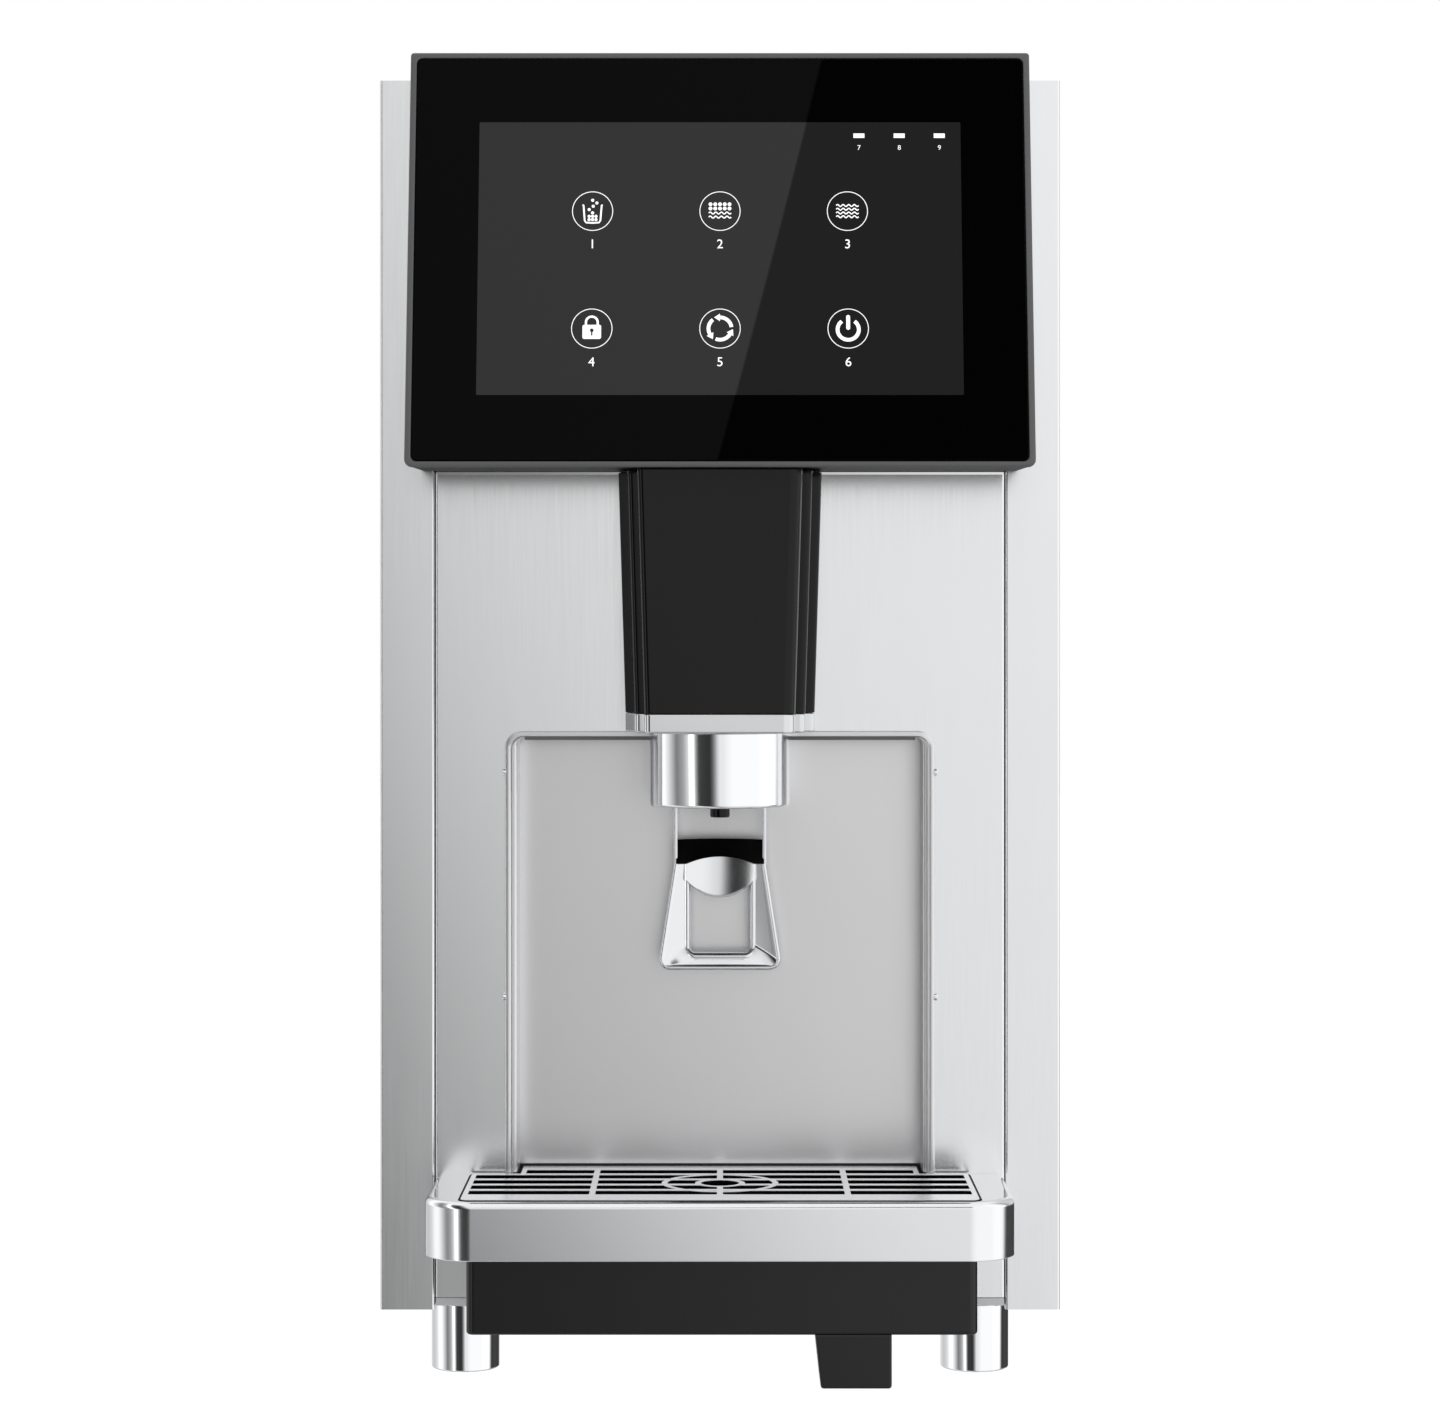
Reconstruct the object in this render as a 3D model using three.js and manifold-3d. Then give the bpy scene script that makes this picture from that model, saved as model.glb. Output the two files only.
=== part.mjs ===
// Countertop ice and water dispenser: a steel cabinet on four round feet, with a tilted touch panel,
// a dispensing neck with a chrome spout, a push lever, a splash niche and a drip tray, and inside it the
// ice maker, the ice bin, the dispensing auger and the refrigeration parts.
// Millimetres. X runs to the right, Y to the back, Z up. The cabinet's front face is at Y = 0 while the
// machine is put together, and the last group centres the whole machine over its feet.
import * as THREE from "three";
import { mergeVertices } from "three/addons/utils/BufferGeometryUtils.js";
import Module from "manifold-3d";

const wasm = await Module();
wasm.setup();

// Driving dimensions of the machine.
const cabinetWidth = 350;
const cabinetDepth = 450;
const cabinetTop = 665.8;
const sideBottom = 33.4;
const footHeight = 35.5;
const trayTop = 104.1;
const trayReach = 95;
const spoutBottom = 294.2;
const spoutAxisY = -36;
const headWidth = 310;
const headLength = 213.3;
const headTilt = 10.6;
const headReach = 86;
const headBottom = 462.7;
const headRise = 1.7;

// Sheet thickness, fits and mesh fineness shared by the whole machine.
const sheet = 1.2;
const bend = 2.4;
const fit = 0.3;
const overrun = 5;
const weld = 1e-4;
const bendSteps = 2;
const roundSteps = 20;
const wideSteps = 32;

// Finishes.
const finish = (color, roughness, metalness) =>
  new THREE.MeshStandardMaterial({ color, roughness, metalness });
const brushedSteel = finish(0xc9cccd, 0.38, 0.9);
const satinSteel = finish(0xb9bcbe, 0.45, 0.85);
const polishedChrome = finish(0xe8eaec, 0.08, 1);
const darkBezel = finish(0x4b4b4d, 0.5, 0.2);
const blackGlass = finish(0x08080a, 0.06, 0);
const blackPlastic = finish(0x1f1f20, 0.32, 0);
const whitePlastic = finish(0xe9eceb, 0.5, 0);
const foodPlastic = finish(0xd9e4ea, 0.4, 0);
const foam = finish(0x2c2c2e, 0.9, 0);
const copper = finish(0xb87445, 0.35, 0.9);
const aluminium = finish(0xb8bbbf, 0.4, 0.85);
const greenBoard = finish(0x1f5a3a, 0.6, 0);
const blackEnamel = finish(0x141416, 0.4, 0.1);
const galvanised = finish(0x9da3a6, 0.5, 0.8);

// Geometry helpers. A solid here is a closed manifold made from a three.js geometry.

/** Turns a closed three.js geometry into a solid whose faces point out. */
function toSolid(geometry) {
  const loose = geometry.index ? geometry.toNonIndexed() : geometry;
  const bare = new THREE.BufferGeometry();
  bare.setAttribute("position", loose.getAttribute("position").clone());
  const merged = mergeVertices(bare, weld);
  const at = merged.getAttribute("position");
  const corners = merged.index.array;
  const faces = [];
  const [a, b, c] = [new THREE.Vector3(), new THREE.Vector3(), new THREE.Vector3()];
  let volume = 0;
  for (let i = 0; i < corners.length; i += 3) {
    const [p, q, r] = [corners[i], corners[i + 1], corners[i + 2]];
    if (p === q || q === r || r === p) continue;
    a.fromBufferAttribute(at, p);
    b.fromBufferAttribute(at, q);
    c.fromBufferAttribute(at, r);
    volume += a.dot(b.cross(c));
    faces.push([p, q, r]);
  }
  const outward = volume < 0 ? faces.map(([p, q, r]) => [p, r, q]) : faces;
  return new wasm.Manifold(
    new wasm.Mesh({ numProp: 3, vertProperties: at.array, triVerts: new Uint32Array(outward.flat()) }),
  );
}

/** Makes the named mesh of one piece from its solid. */
function piece(name, solid, material) {
  const made = solid.getMesh();
  const geometry = new THREE.BufferGeometry();
  geometry.setAttribute("position", new THREE.BufferAttribute(new Float32Array(made.vertProperties), 3));
  geometry.setIndex(new THREE.BufferAttribute(new Uint32Array(made.triVerts), 1));
  geometry.computeVertexNormals();
  const mesh = new THREE.Mesh(geometry, material);
  mesh.name = name;
  return mesh;
}

const joinAll = (solids) => solids.reduce((whole, next) => whole.add(next));
const cutAll = (solid, cutters) => cutters.reduce((rest, next) => rest.subtract(next), solid);

/** A block between two limits on each axis. */
function block([x0, x1], [y0, y1], [z0, z1]) {
  const box = new THREE.BoxGeometry(x1 - x0, y1 - y0, z1 - z0);
  return toSolid(box.translate((x0 + x1) / 2, (y0 + y1) / 2, (z0 + z1) / 2));
}

const across = (half) => [-half, half];
const around = (middle, half) => [middle - half, middle + half];

/** Replaces each corner [x, y, radius] of a polygon by an arc; a corner without a radius stays sharp. */
function roundedOutline(corners, steps = bendSteps) {
  return corners.flatMap(([x, y, radius], i) => {
    const here = new THREE.Vector2(x, y);
    if (!radius) return [here];
    const [bx, by] = corners.at(i - 1);
    const [ax, ay] = corners[(i + 1) % corners.length];
    const before = new THREE.Vector2(bx, by).sub(here).normalize();
    const after = new THREE.Vector2(ax, ay).sub(here).normalize();
    const half = Math.acos(THREE.MathUtils.clamp(before.dot(after), -1, 1)) / 2;
    const centre = before.clone().add(after).normalize().multiplyScalar(radius / Math.sin(half)).add(here);
    const start = before.multiplyScalar(radius / Math.tan(half)).add(here).sub(centre);
    const end = after.multiplyScalar(radius / Math.tan(half)).add(here).sub(centre);
    const turn = Math.atan2(start.cross(end), start.dot(end));
    return Array.from({ length: steps + 1 }, (_, k) =>
      start.clone().rotateAround(new THREE.Vector2(), (turn * k) / steps).add(centre),
    );
  });
}

/** The outline of bent sheet: its path is one face, and the other lies one thickness to the left. */
function sheetOutline(path, thickness = sheet, radius = bend) {
  const points = path.map(([x, y]) => new THREE.Vector2(x, y));
  const heading = points.slice(1).map((p, i) => p.clone().sub(points[i]).normalize());
  const left = (v) => new THREE.Vector2(-v.y, v.x);
  const near = [];
  const far = [];
  points.forEach((p, i) => {
    const into = heading[Math.max(i - 1, 0)];
    const out = heading[Math.min(i, heading.length - 1)];
    const side = left(into).add(left(out));
    const shift = side.multiplyScalar(thickness / (1 + into.dot(out)));
    const turn = into.cross(out);
    const inner = radius - thickness;
    near.push([p.x, p.y, turn === 0 ? 0 : turn > 0 ? radius : inner]);
    far.push([p.x + shift.x, p.y + shift.y, turn === 0 ? 0 : turn > 0 ? inner : radius]);
  });
  return roundedOutline([...near, ...far.reverse()]);
}

/** A rectangle with round corners between limits on two axes, as an outline. */
function roundedRectangle([x0, x1], [y0, y1], radius, steps = bendSteps) {
  return roundedOutline([[x0, y0, radius], [x1, y0, radius], [x1, y1, radius], [x0, y1, radius]], steps);
}

/** An outline of a circle, drawn with straight sides. */
function circle(x, y, radius, sides = roundSteps) {
  return Array.from({ length: sides }, (_, k) => {
    const angle = (2 * Math.PI * k) / sides;
    return new THREE.Vector2(x + radius * Math.cos(angle), y + radius * Math.sin(angle));
  });
}

/** Extrudes an outline, with holes if any, between two levels of the third axis. */
function extrude(outline, [from, to], holes = []) {
  const shape = new THREE.Shape(outline);
  holes.forEach((hole) => shape.holes.push(new THREE.Path(hole)));
  const geometry = new THREE.ExtrudeGeometry(shape, { depth: to - from, bevelEnabled: false });
  return geometry.translate(0, 0, from);
}

// The axis an outline is carried along: up takes (x, y), back takes (x, z), sideways takes (y, z).
const lyingBack = new THREE.Matrix4().set(1, 0, 0, 0, 0, 0, 1, 0, 0, 1, 0, 0, 0, 0, 0, 1);
const lyingSideways = new THREE.Matrix4().set(0, 0, 1, 0, 1, 0, 0, 0, 0, 1, 0, 0, 0, 0, 0, 1);
const alongZ = (outline, levels, holes) => toSolid(extrude(outline, levels, holes));
const alongY = (outline, levels, holes) => toSolid(extrude(outline, levels, holes).applyMatrix4(lyingBack));
const alongX = (outline, levels, holes) =>
  toSolid(extrude(outline, levels, holes).applyMatrix4(lyingSideways));

/** A solid through a stack of outlines with as many points each; place puts an outline's point in space. */
function loft(outlines, place, closed = false) {
  const clockwise = THREE.ShapeUtils.area(outlines[0]) < 0;
  const stack = clockwise ? outlines.map((outline) => [...outline].reverse()) : outlines;
  const count = stack[0].length;
  const points = stack.flatMap((outline, i) => outline.map((p) => place(p, i)));
  const faces = [];
  const bands = closed ? stack.length : stack.length - 1;
  for (let i = 0; i < bands; i += 1) {
    const [low, high] = [i * count, ((i + 1) % stack.length) * count];
    for (let j = 0; j < count; j += 1) {
      const k = (j + 1) % count;
      faces.push(low + j, low + k, high + k, low + j, high + k, high + j);
    }
  }
  if (!closed) {
    const top = (stack.length - 1) * count;
    const lid = (outline) => THREE.ShapeUtils.triangulateShape(outline, []);
    lid(stack[0]).forEach(([p, q, r]) => faces.push(r, q, p));
    lid(stack.at(-1)).forEach(([p, q, r]) => faces.push(top + p, top + q, top + r));
  }
  const geometry = new THREE.BufferGeometry().setFromPoints(points);
  geometry.setIndex(faces);
  return toSolid(geometry);
}

/** A body of revolution about the Z axis through (x, y), from a profile of [radius, z]. */
function revolve(profile, x = 0, y = 0, sides = roundSteps) {
  const points = profile.map(([r, z]) => new THREE.Vector2(r, z));
  const geometry = new THREE.LatheGeometry(points, sides);
  return toSolid(geometry.rotateX(Math.PI / 2).translate(x, y, 0));
}

const rod = (x, y, radius, levels, sides) => alongZ(circle(x, y, radius, sides), levels);
const rodAlongX = (y, z, radius, levels, sides) => alongX(circle(y, z, radius, sides), levels);
const rodAlongY = (x, z, radius, levels, sides) => alongY(circle(x, z, radius, sides), levels);

/** The same solid on the other side of the machine. */
function mirrored(solid) {
  const mesh = piece("mirror", solid).geometry;
  return toSolid(mesh.scale(-1, 1, 1));
}

/** A row of values: count of them, a gap apart, about a middle. */
const spaced = (count, gap, middle = 0) =>
  Array.from({ length: count }, (_, k) => middle + (k - (count - 1) / 2) * gap);

/** A tube or bar of a given section outline carried along a curve. */
function sweep(curve, outline, steps, hole) {
  const shape = new THREE.Shape(outline);
  if (hole) shape.holes.push(new THREE.Path(hole));
  return toSolid(new THREE.ExtrudeGeometry(shape, { steps, bevelEnabled: false, extrudePath: curve }));
}

const screwRootShare = 0.6;

/** A screw: a core with one helical flight round it, standing on z0 about the axis (0, 0). */
function screw(core, reach, lead, thickness, [z0, z1], stepsPerTurn = 10) {
  const turns = (z1 - z0 - thickness) / lead;
  const steps = Math.round(turns * stepsPerTurn);
  const root = core * screwRootShare;
  const sections = Array.from({ length: steps + 1 }, () => [
    new THREE.Vector2(root, 0),
    new THREE.Vector2(reach, 0),
    new THREE.Vector2(reach, thickness),
    new THREE.Vector2(root, thickness),
  ]);
  const flight = loft(sections, (p, i) => {
    const angle = (2 * Math.PI * turns * i) / steps;
    const level = z0 + (lead * turns * i) / steps;
    return new THREE.Vector3(p.x * Math.cos(angle), p.x * Math.sin(angle), level + p.y);
  });
  return rod(0, 0, core, [z0, z1], stepsPerTurn).add(flight);
}

/** Moves or turns a solid, and gives it back as a solid. */
function placed(solid, { turnX = 0, x = 0, y = 0, z = 0 }) {
  return toSolid(piece("placed", solid).geometry.rotateX(turnX).translate(x, y, z));
}

// Cabinet: base pan, two side panels folded round to the front, front and rear panels, shelf and cover.
const half = cabinetWidth / 2;
const inside = half - sheet - fit;
const cabinet = {
  wing: 27.5,
  seam: 1.3,
  wingLip: 6,
  panelLip: 12,
  rearReturn: 14,
  flange: 18,
  strip: 4.1,
  coverFlange: 16,
  railWidth: 9,
  railMargin: 40,
  shelfLevel: 396,
  shelfFlange: 8,
  shelfFront: 14,
};
const panelHalf = half - cabinet.wing - cabinet.seam;
const panelBottom = footHeight + cabinet.strip;
const panelTop = headBottom + headRise;
const baseFloor = footHeight + sheet;
const backInside = cabinetDepth - 2 * (sheet + fit);
const coverBottom = cabinetTop - cabinet.coverFlange;
const shelfTop = cabinet.shelfLevel + sheet;

const foot = {
  radius: 17.65,
  sideInset: 42.7,
  frontInset: 20,
  rearInset: 32,
  edge: 1.5,
  stud: 5,
  studLength: 14,
};
const footX = half - foot.sideInset;
const footRows = { front: foot.frontInset, rear: cabinetDepth - foot.rearInset };

// The parts of the machine that the cabinet panels are cut for.
const niche = {
  sideInset: 41.9,
  top: 328.2,
  depth: 24,
  wall: 1.5,
  rimSide: 6.2,
  rimTop: 2.9,
  rimProud: 3,
  stepProud: 2,
  stepSide: 2.7,
  stepTop: 1.3,
  corner: 4,
  rimCorner: 8.7,
  floorDrop: 5.5,
  dripEdge: 6,
};
const nicheHalf = panelHalf - niche.sideInset;
const skirt = { height: 29.6, corner: 20, nose: 3.5, wall: 2.5, gratePlay: 0.4, ledge: 4, noseSteps: 3 };
const grate = {
  sideInset: 18.2,
  front: 3.2,
  back: 3.7,
  tongueInset: 1.3,
  thickness: 3,
  tonguePlay: 1,
  spacing: 17.3,
  slot: 10.6,
  slotEnd: 3.4,
  bar: 3,
  barPitch: 63.2,
  rows: 5,
  backRow: 2,
  ring: 27.9,
  innerRing: 11.1,
  corner: 2,
};
const grateHalf = panelHalf - grate.sideInset;
const tongueHalf = nicheHalf - grate.tongueInset;
const pan = {
  sideInset: 3.3,
  setBack: 10,
  bottom: 36.7,
  wall: 2.5,
  corner: 2.6,
  flange: 3.6,
  flangeDepth: 2.2,
};
const panHalf = grateHalf - pan.sideInset;
const outletSpout = { sideInset: 40.4, width: 37.7, taper: 2.9, bottom: 10.4, depth: 38, bore: 8 };
const outletRight = panHalf - outletSpout.sideInset;
const outletLeft = outletRight - outletSpout.width;
const nicheFloor = trayTop - niche.floorDrop;
const lever = {
  pivotY: 4,
  pivotRise: 22,
  railHalf: 24,
  rail: 2.2,
  railDepth: 6,
  thickness: 8,
  shoulder: 262.5,
  padTop: 275,
  flare: 7.5,
  bottom: 209.2,
  corner: 4.5,
  rim: 2,
  dishAngle: 27,
  windowHalf: 15.1,
  windowBottom: 217.3,
  windowTop: 254,
  windowCorner: 2,
  chamfer: 3.2,
  scoopRadius: 32,
  scoopWall: 1.6,
  scoopHalf: 17.4,
  scoopCrown: 3.7,
  scoopBottom: 245,
  eye: 5,
  pin: 2.5,
  slotMargin: 1.6,
  slotDepth: 15,
};
const chute = {
  half: 26,
  wall: 1.5,
  front: 24,
  back: 24,
  slope: 30,
  frontBend: 405,
  backBend: 393,
  gateY: 25,
};
const fan = { radius: 60, clearance: 4, hub: 16 };
const condenser = { outer: 10, depth: 30, length: 160, height: 168, tube: 4, fins: 11, frame: 8 };
const fanZ = baseFloor + fit + condenser.height / 2;
const louvre = { count: 8, spacing: 17, length: 130, height: 5 };
const barrel = { rearInset: 75, radius: 42, bore: 31 };
const gearbox = { half: 50, height: 113, radius: 45, neck: 50, corner: 12 };
const extruder = { radius: 46, topDrop: 20.8, height: 55, cap: 8 };
const bin = { frontGap: 48, backGap: 25, wall: 8, floorRise: 32.8, topDrop: 25.8, outletRise: 34, drain: 9 };

// The freezing cylinder stands at the back, and the ice bin fills the room between it and the front panel.
const barrelY = cabinetDepth - barrel.rearInset;
const barrelBottom = baseFloor + gearbox.height + gearbox.neck + 2 * fit;
const extruderTop = cabinetTop - extruder.topDrop;
const barrelTop = extruderTop - extruder.height;
const binBack = barrelY - barrel.radius - bin.backGap;
const binRadius = (binBack - bin.frontGap) / 2;
const binY = bin.frontGap + binRadius;
const binFloor = shelfTop + bin.floorRise;
const binTop = cabinetTop - bin.topDrop;

// The compressor, the fan and the drier share the bay from the splash niche to the gearbox.
const [fanBayShare, compressorBayShare, drierBayShare] = [0.616, 0.633, 0.516];
const bayFront = niche.depth + niche.wall;
const alongBay = (share) => bayFront + share * (barrelY - gearbox.half - bayFront);
const fanY = alongBay(fanBayShare);

const inlet = { sideInset: 65, z: 90, radius: 13 };
const drain = { offset: 48, z: 70, radius: 8 };
const power = { sideInset: 65, z: 90, half: 24, halfHeight: 14, depth: 20, recess: 15 };
const vent = { count: 5, spacing: 14, length: 110, height: 5, drop: 89.8 };
const inletX = -half + inlet.sideInset;
const drainX = inletX + drain.offset;
const powerX = half - power.sideInset;
const ventZ = coverBottom - vent.drop;
const chuteSlope = Math.tan(THREE.MathUtils.degToRad(chute.slope));
const chuteFront = spoutAxisY - chute.front;
const chuteBack = spoutAxisY + chute.back;

const slotCornerShare = 0.3;

/** A row of slots through a sheet that stands at right angles to X or Y. */
function slots(carry, { count, spacing, length, height }, middle, level, levels) {
  const corner = height * slotCornerShare;
  return spaced(count, spacing, level).map((z) =>
    carry(roundedRectangle(around(middle, length / 2), around(z, height / 2), corner, 1), levels),
  );
}

function basePan() {
  const front = cabinet.wingLip + fit;
  const outline = (inset) =>
    roundedOutline([
      [-panelHalf + inset, inset],
      [panelHalf - inset, inset],
      [panelHalf - inset, front + inset],
      [inside - inset, front + inset, bend],
      [inside - inset, backInside - inset, bend],
      [-inside + inset, backInside - inset, bend],
      [-inside + inset, front + inset, bend],
      [-panelHalf + inset, front + inset],
    ]);
  const body = alongZ(outline(0), [footHeight, baseFloor + cabinet.flange]);
  const holes = Object.values(footRows).flatMap((y) =>
    [-footX, footX].map((x) => rod(x, y, foot.stud + fit, [footHeight - overrun, baseFloor + overrun])),
  );
  return cutAll(body, [
    alongZ(outline(sheet), [baseFloor, baseFloor + cabinet.flange + overrun]),
    block(
      across(panelHalf + fit),
      [-overrun, cabinet.panelLip + fit],
      [panelBottom - fit, baseFloor + cabinet.flange + overrun],
    ),
    ...holes,
  ]);
}

function footSolid(x, y) {
  const height = footHeight - fit;
  const profile = [
    [0, 0],
    [foot.radius - foot.edge, 0],
    [foot.radius, foot.edge],
    [foot.radius, height],
    [foot.stud, height],
    [foot.stud, height + foot.studLength],
    [0, height + foot.studLength],
  ];
  return revolve(profile, x, y);
}

function sidePanel() {
  const path = [
    [-half + cabinet.rearReturn, cabinetDepth],
    [-half, cabinetDepth],
    [-half, 0],
    [-half + cabinet.wing, 0],
    [-half + cabinet.wing, cabinet.wingLip],
  ];
  const body = alongZ(sheetOutline(path), [sideBottom, cabinetTop]);
  const railY = [cabinet.railMargin, cabinetDepth - cabinet.railMargin];
  const railX = [-half + sheet / 2, -half + sheet + cabinet.railWidth];
  const rails = [coverBottom - fit - sheet, cabinet.shelfLevel - fit - sheet].map((z) =>
    block(railX, railY, [z, z + sheet]),
  );
  const lipTop = block(
    [-half + bend, -half + cabinet.wing + overrun],
    [sheet, cabinet.wingLip + overrun],
    [coverBottom - fit, cabinetTop + overrun],
  );
  const openings = slots(alongX, louvre, fanY, fanZ, [-half - overrun, -half + sheet + overrun]);
  return cutAll(joinAll([body, ...rails]), [lipTop, ...openings]);
}

function frontPanel() {
  const path = [
    [-panelHalf, cabinet.panelLip],
    [-panelHalf, 0],
    [panelHalf, 0],
    [panelHalf, cabinet.panelLip],
  ];
  const body = alongZ(sheetOutline(path), [panelBottom, panelTop]);
  const reach = [-overrun, cabinet.panelLip + overrun];
  const openingHalf = nicheHalf + niche.wall + fit;
  const opening = roundedRectangle(
    across(openingHalf),
    [nicheFloor - niche.wall - fit, niche.top + niche.wall + fit],
    niche.corner + niche.wall,
  );
  const chuteTop = chute.frontBend - chuteFront * chuteSlope + 3 * chute.wall;
  const upperHalf = lever.railHalf + 4 * lever.slotMargin;
  const upper = roundedRectangle(across(upperHalf), [niche.top, chuteTop], niche.corner);
  return cutAll(body, [alongY(opening, reach), alongY(upper, reach)]);
}

const backplateSolid = () =>
  block(across(panelHalf), [0, sheet], [panelTop + fit, cabinetTop]).subtract(
    rodAlongY(panelHalf / 2, (panelTop + cabinetTop) / 2, foot.radius, [-overrun, sheet + overrun]),
  );

function rearPanel() {
  const levels = [backInside + fit - overrun, cabinetDepth + overrun];
  const body = block(
    across(inside - sheet),
    [backInside + fit, cabinetDepth - sheet - fit],
    [sideBottom, coverBottom - fit],
  );
  const ventX = vent.length / 2 + vent.spacing;
  const rows = [-ventX, ventX].flatMap((x) => slots(alongY, vent, x, ventZ, levels));
  return cutAll(body, [
    ...rows,
    rodAlongY(inletX, inlet.z, inlet.radius + fit, levels),
    rodAlongY(drainX, drain.z, drain.radius + fit, levels),
    block(around(powerX, power.half + fit), levels, around(power.z, power.halfHeight + fit)),
  ]);
}

/** A shallow sheet pan: a flat plate with folded edges that point down or up. */
function foldedPan([x0, x1], [y0, y1], plate, edge) {
  const outline = (inset) => roundedRectangle([x0 + inset, x1 - inset], [y0 + inset, y1 - inset], bend);
  const [low, high] = [Math.min(plate, edge), Math.max(plate + sheet, edge)];
  const hollow = edge < plate ? [low - overrun, plate] : [plate + sheet, high + overrun];
  return alongZ(outline(0), [low, high]).subtract(alongZ(outline(sheet), hollow));
}

const topCover = () =>
  foldedPan(across(inside), [sheet + fit, cabinetDepth - sheet - fit], cabinetTop - sheet, coverBottom);

function shelf() {
  const pan = foldedPan(
    across(inside - fit),
    [cabinet.shelfFront, backInside - fit],
    cabinet.shelfLevel,
    shelfTop + cabinet.shelfFlange,
  );
  const reach = [cabinet.shelfLevel - overrun, shelfTop + overrun];
  return cutAll(pan, [rod(0, binY, bin.drain, reach), rod(0, barrelY, barrel.radius + fit, reach)]);
}

// Splash niche: a pressed liner with a stepped rim, open at the bottom of its front for the grate.
function splashNiche() {
  const roof = niche.top + niche.wall;
  const rimBottom = trayTop + fit;
  const underside = nicheFloor - niche.wall;
  const liner = alongY(
    roundedRectangle(across(nicheHalf + niche.wall), [underside, roof], niche.corner + niche.wall),
    [-niche.rimProud, niche.depth + niche.wall],
  );
  const rim = alongY(
    roundedOutline([
      [-nicheHalf - niche.rimSide, rimBottom],
      [nicheHalf + niche.rimSide, rimBottom],
      [nicheHalf + niche.rimSide, niche.top + niche.rimTop, niche.rimCorner],
      [-nicheHalf - niche.rimSide, niche.top + niche.rimTop, niche.rimCorner],
    ]),
    [-niche.rimProud, -fit],
  );
  const opening = (wider, higher) =>
    roundedOutline([
      [-nicheHalf - wider, nicheFloor],
      [nicheHalf + wider, nicheFloor],
      [nicheHalf + wider, niche.top + higher, niche.corner + higher],
      [-nicheHalf - wider, niche.top + higher, niche.corner + higher],
    ]);
  const hollow = alongY(opening(0, 0), [-niche.dripEdge - overrun, niche.depth]);
  const stepDepth = [-niche.rimProud - overrun, -niche.stepProud];
  const step = alongY(opening(niche.stepSide, niche.stepTop), stepDepth);
  const lip = block(across(tongueHalf), [-niche.dripEdge, 0], [underside, nicheFloor]);
  const leverSlot = block(
    across(lever.railHalf + lever.slotMargin),
    [-niche.rimProud - overrun, lever.slotDepth],
    [niche.top - overrun, roof + overrun],
  );
  const underRim = block(
    across(nicheHalf + niche.wall + overrun),
    [-niche.rimProud - overrun, -fit],
    [underside - overrun, rimBottom],
  );
  const shell = cutAll(joinAll([liner.subtract(underRim), rim]), [hollow, step]);
  return shell.add(lip).subtract(leverSlot);
}

// Drip tray: a chrome skirt with a grate let into its top, and a black pan and drain spout below.
const skirtBottom = trayTop - skirt.height;
const grateBottom = trayTop - grate.thickness;
const panTop = nicheFloor - niche.wall - 2 * fit;
const panFront = -trayReach + pan.setBack;

function traySkirt() {
  const outline = (inset) =>
    roundedOutline(
      [
        [-panelHalf + inset, -fit],
        [-panelHalf + inset, -trayReach + inset, skirt.corner - inset],
        [panelHalf - inset, -trayReach + inset, skirt.corner - inset],
        [panelHalf - inset, -fit],
      ],
      3 * bendSteps,
    );
  const noseStart = trayTop - skirt.nose;
  const nose = Array.from({ length: skirt.noseSteps + 1 }, (_, k) => {
    const angle = (Math.PI / 2) * (k / skirt.noseSteps);
    return [skirt.nose * (1 - Math.cos(angle)), noseStart + skirt.nose * Math.sin(angle)];
  });
  const stack = [[0, skirtBottom], ...nose];
  const body = loft(
    stack.map(([inset]) => outline(inset)),
    (p, i) => new THREE.Vector3(p.x, p.y, stack[i][1]),
  );
  const pocketX = across(grateHalf + skirt.gratePlay);
  const pocketFront = -trayReach + grate.front - skirt.gratePlay;
  const pocket = block(pocketX, [pocketFront, -grate.back], [grateBottom - fit, trayTop + overrun]);
  const mouth = block(
    across(tongueHalf + skirt.gratePlay),
    [-grate.back - overrun, overrun],
    [panTop - overrun, trayTop + overrun],
  );
  const through = block(
    across(panHalf + fit),
    [panFront - fit, -skirt.ledge],
    [skirtBottom - overrun, trayTop],
  );
  const ledgeBottom = panTop + fit;
  const under = alongZ(
    roundedOutline([
      [-panelHalf + skirt.wall, overrun],
      [-panelHalf + skirt.wall, -trayReach + skirt.wall, skirt.corner - skirt.wall],
      [panelHalf - skirt.wall, -trayReach + skirt.wall, skirt.corner - skirt.wall],
      [panelHalf - skirt.wall, overrun],
    ]),
    [skirtBottom - overrun, ledgeBottom],
  );
  return cutAll(body, [pocket, mouth, through, under]);
}

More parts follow.
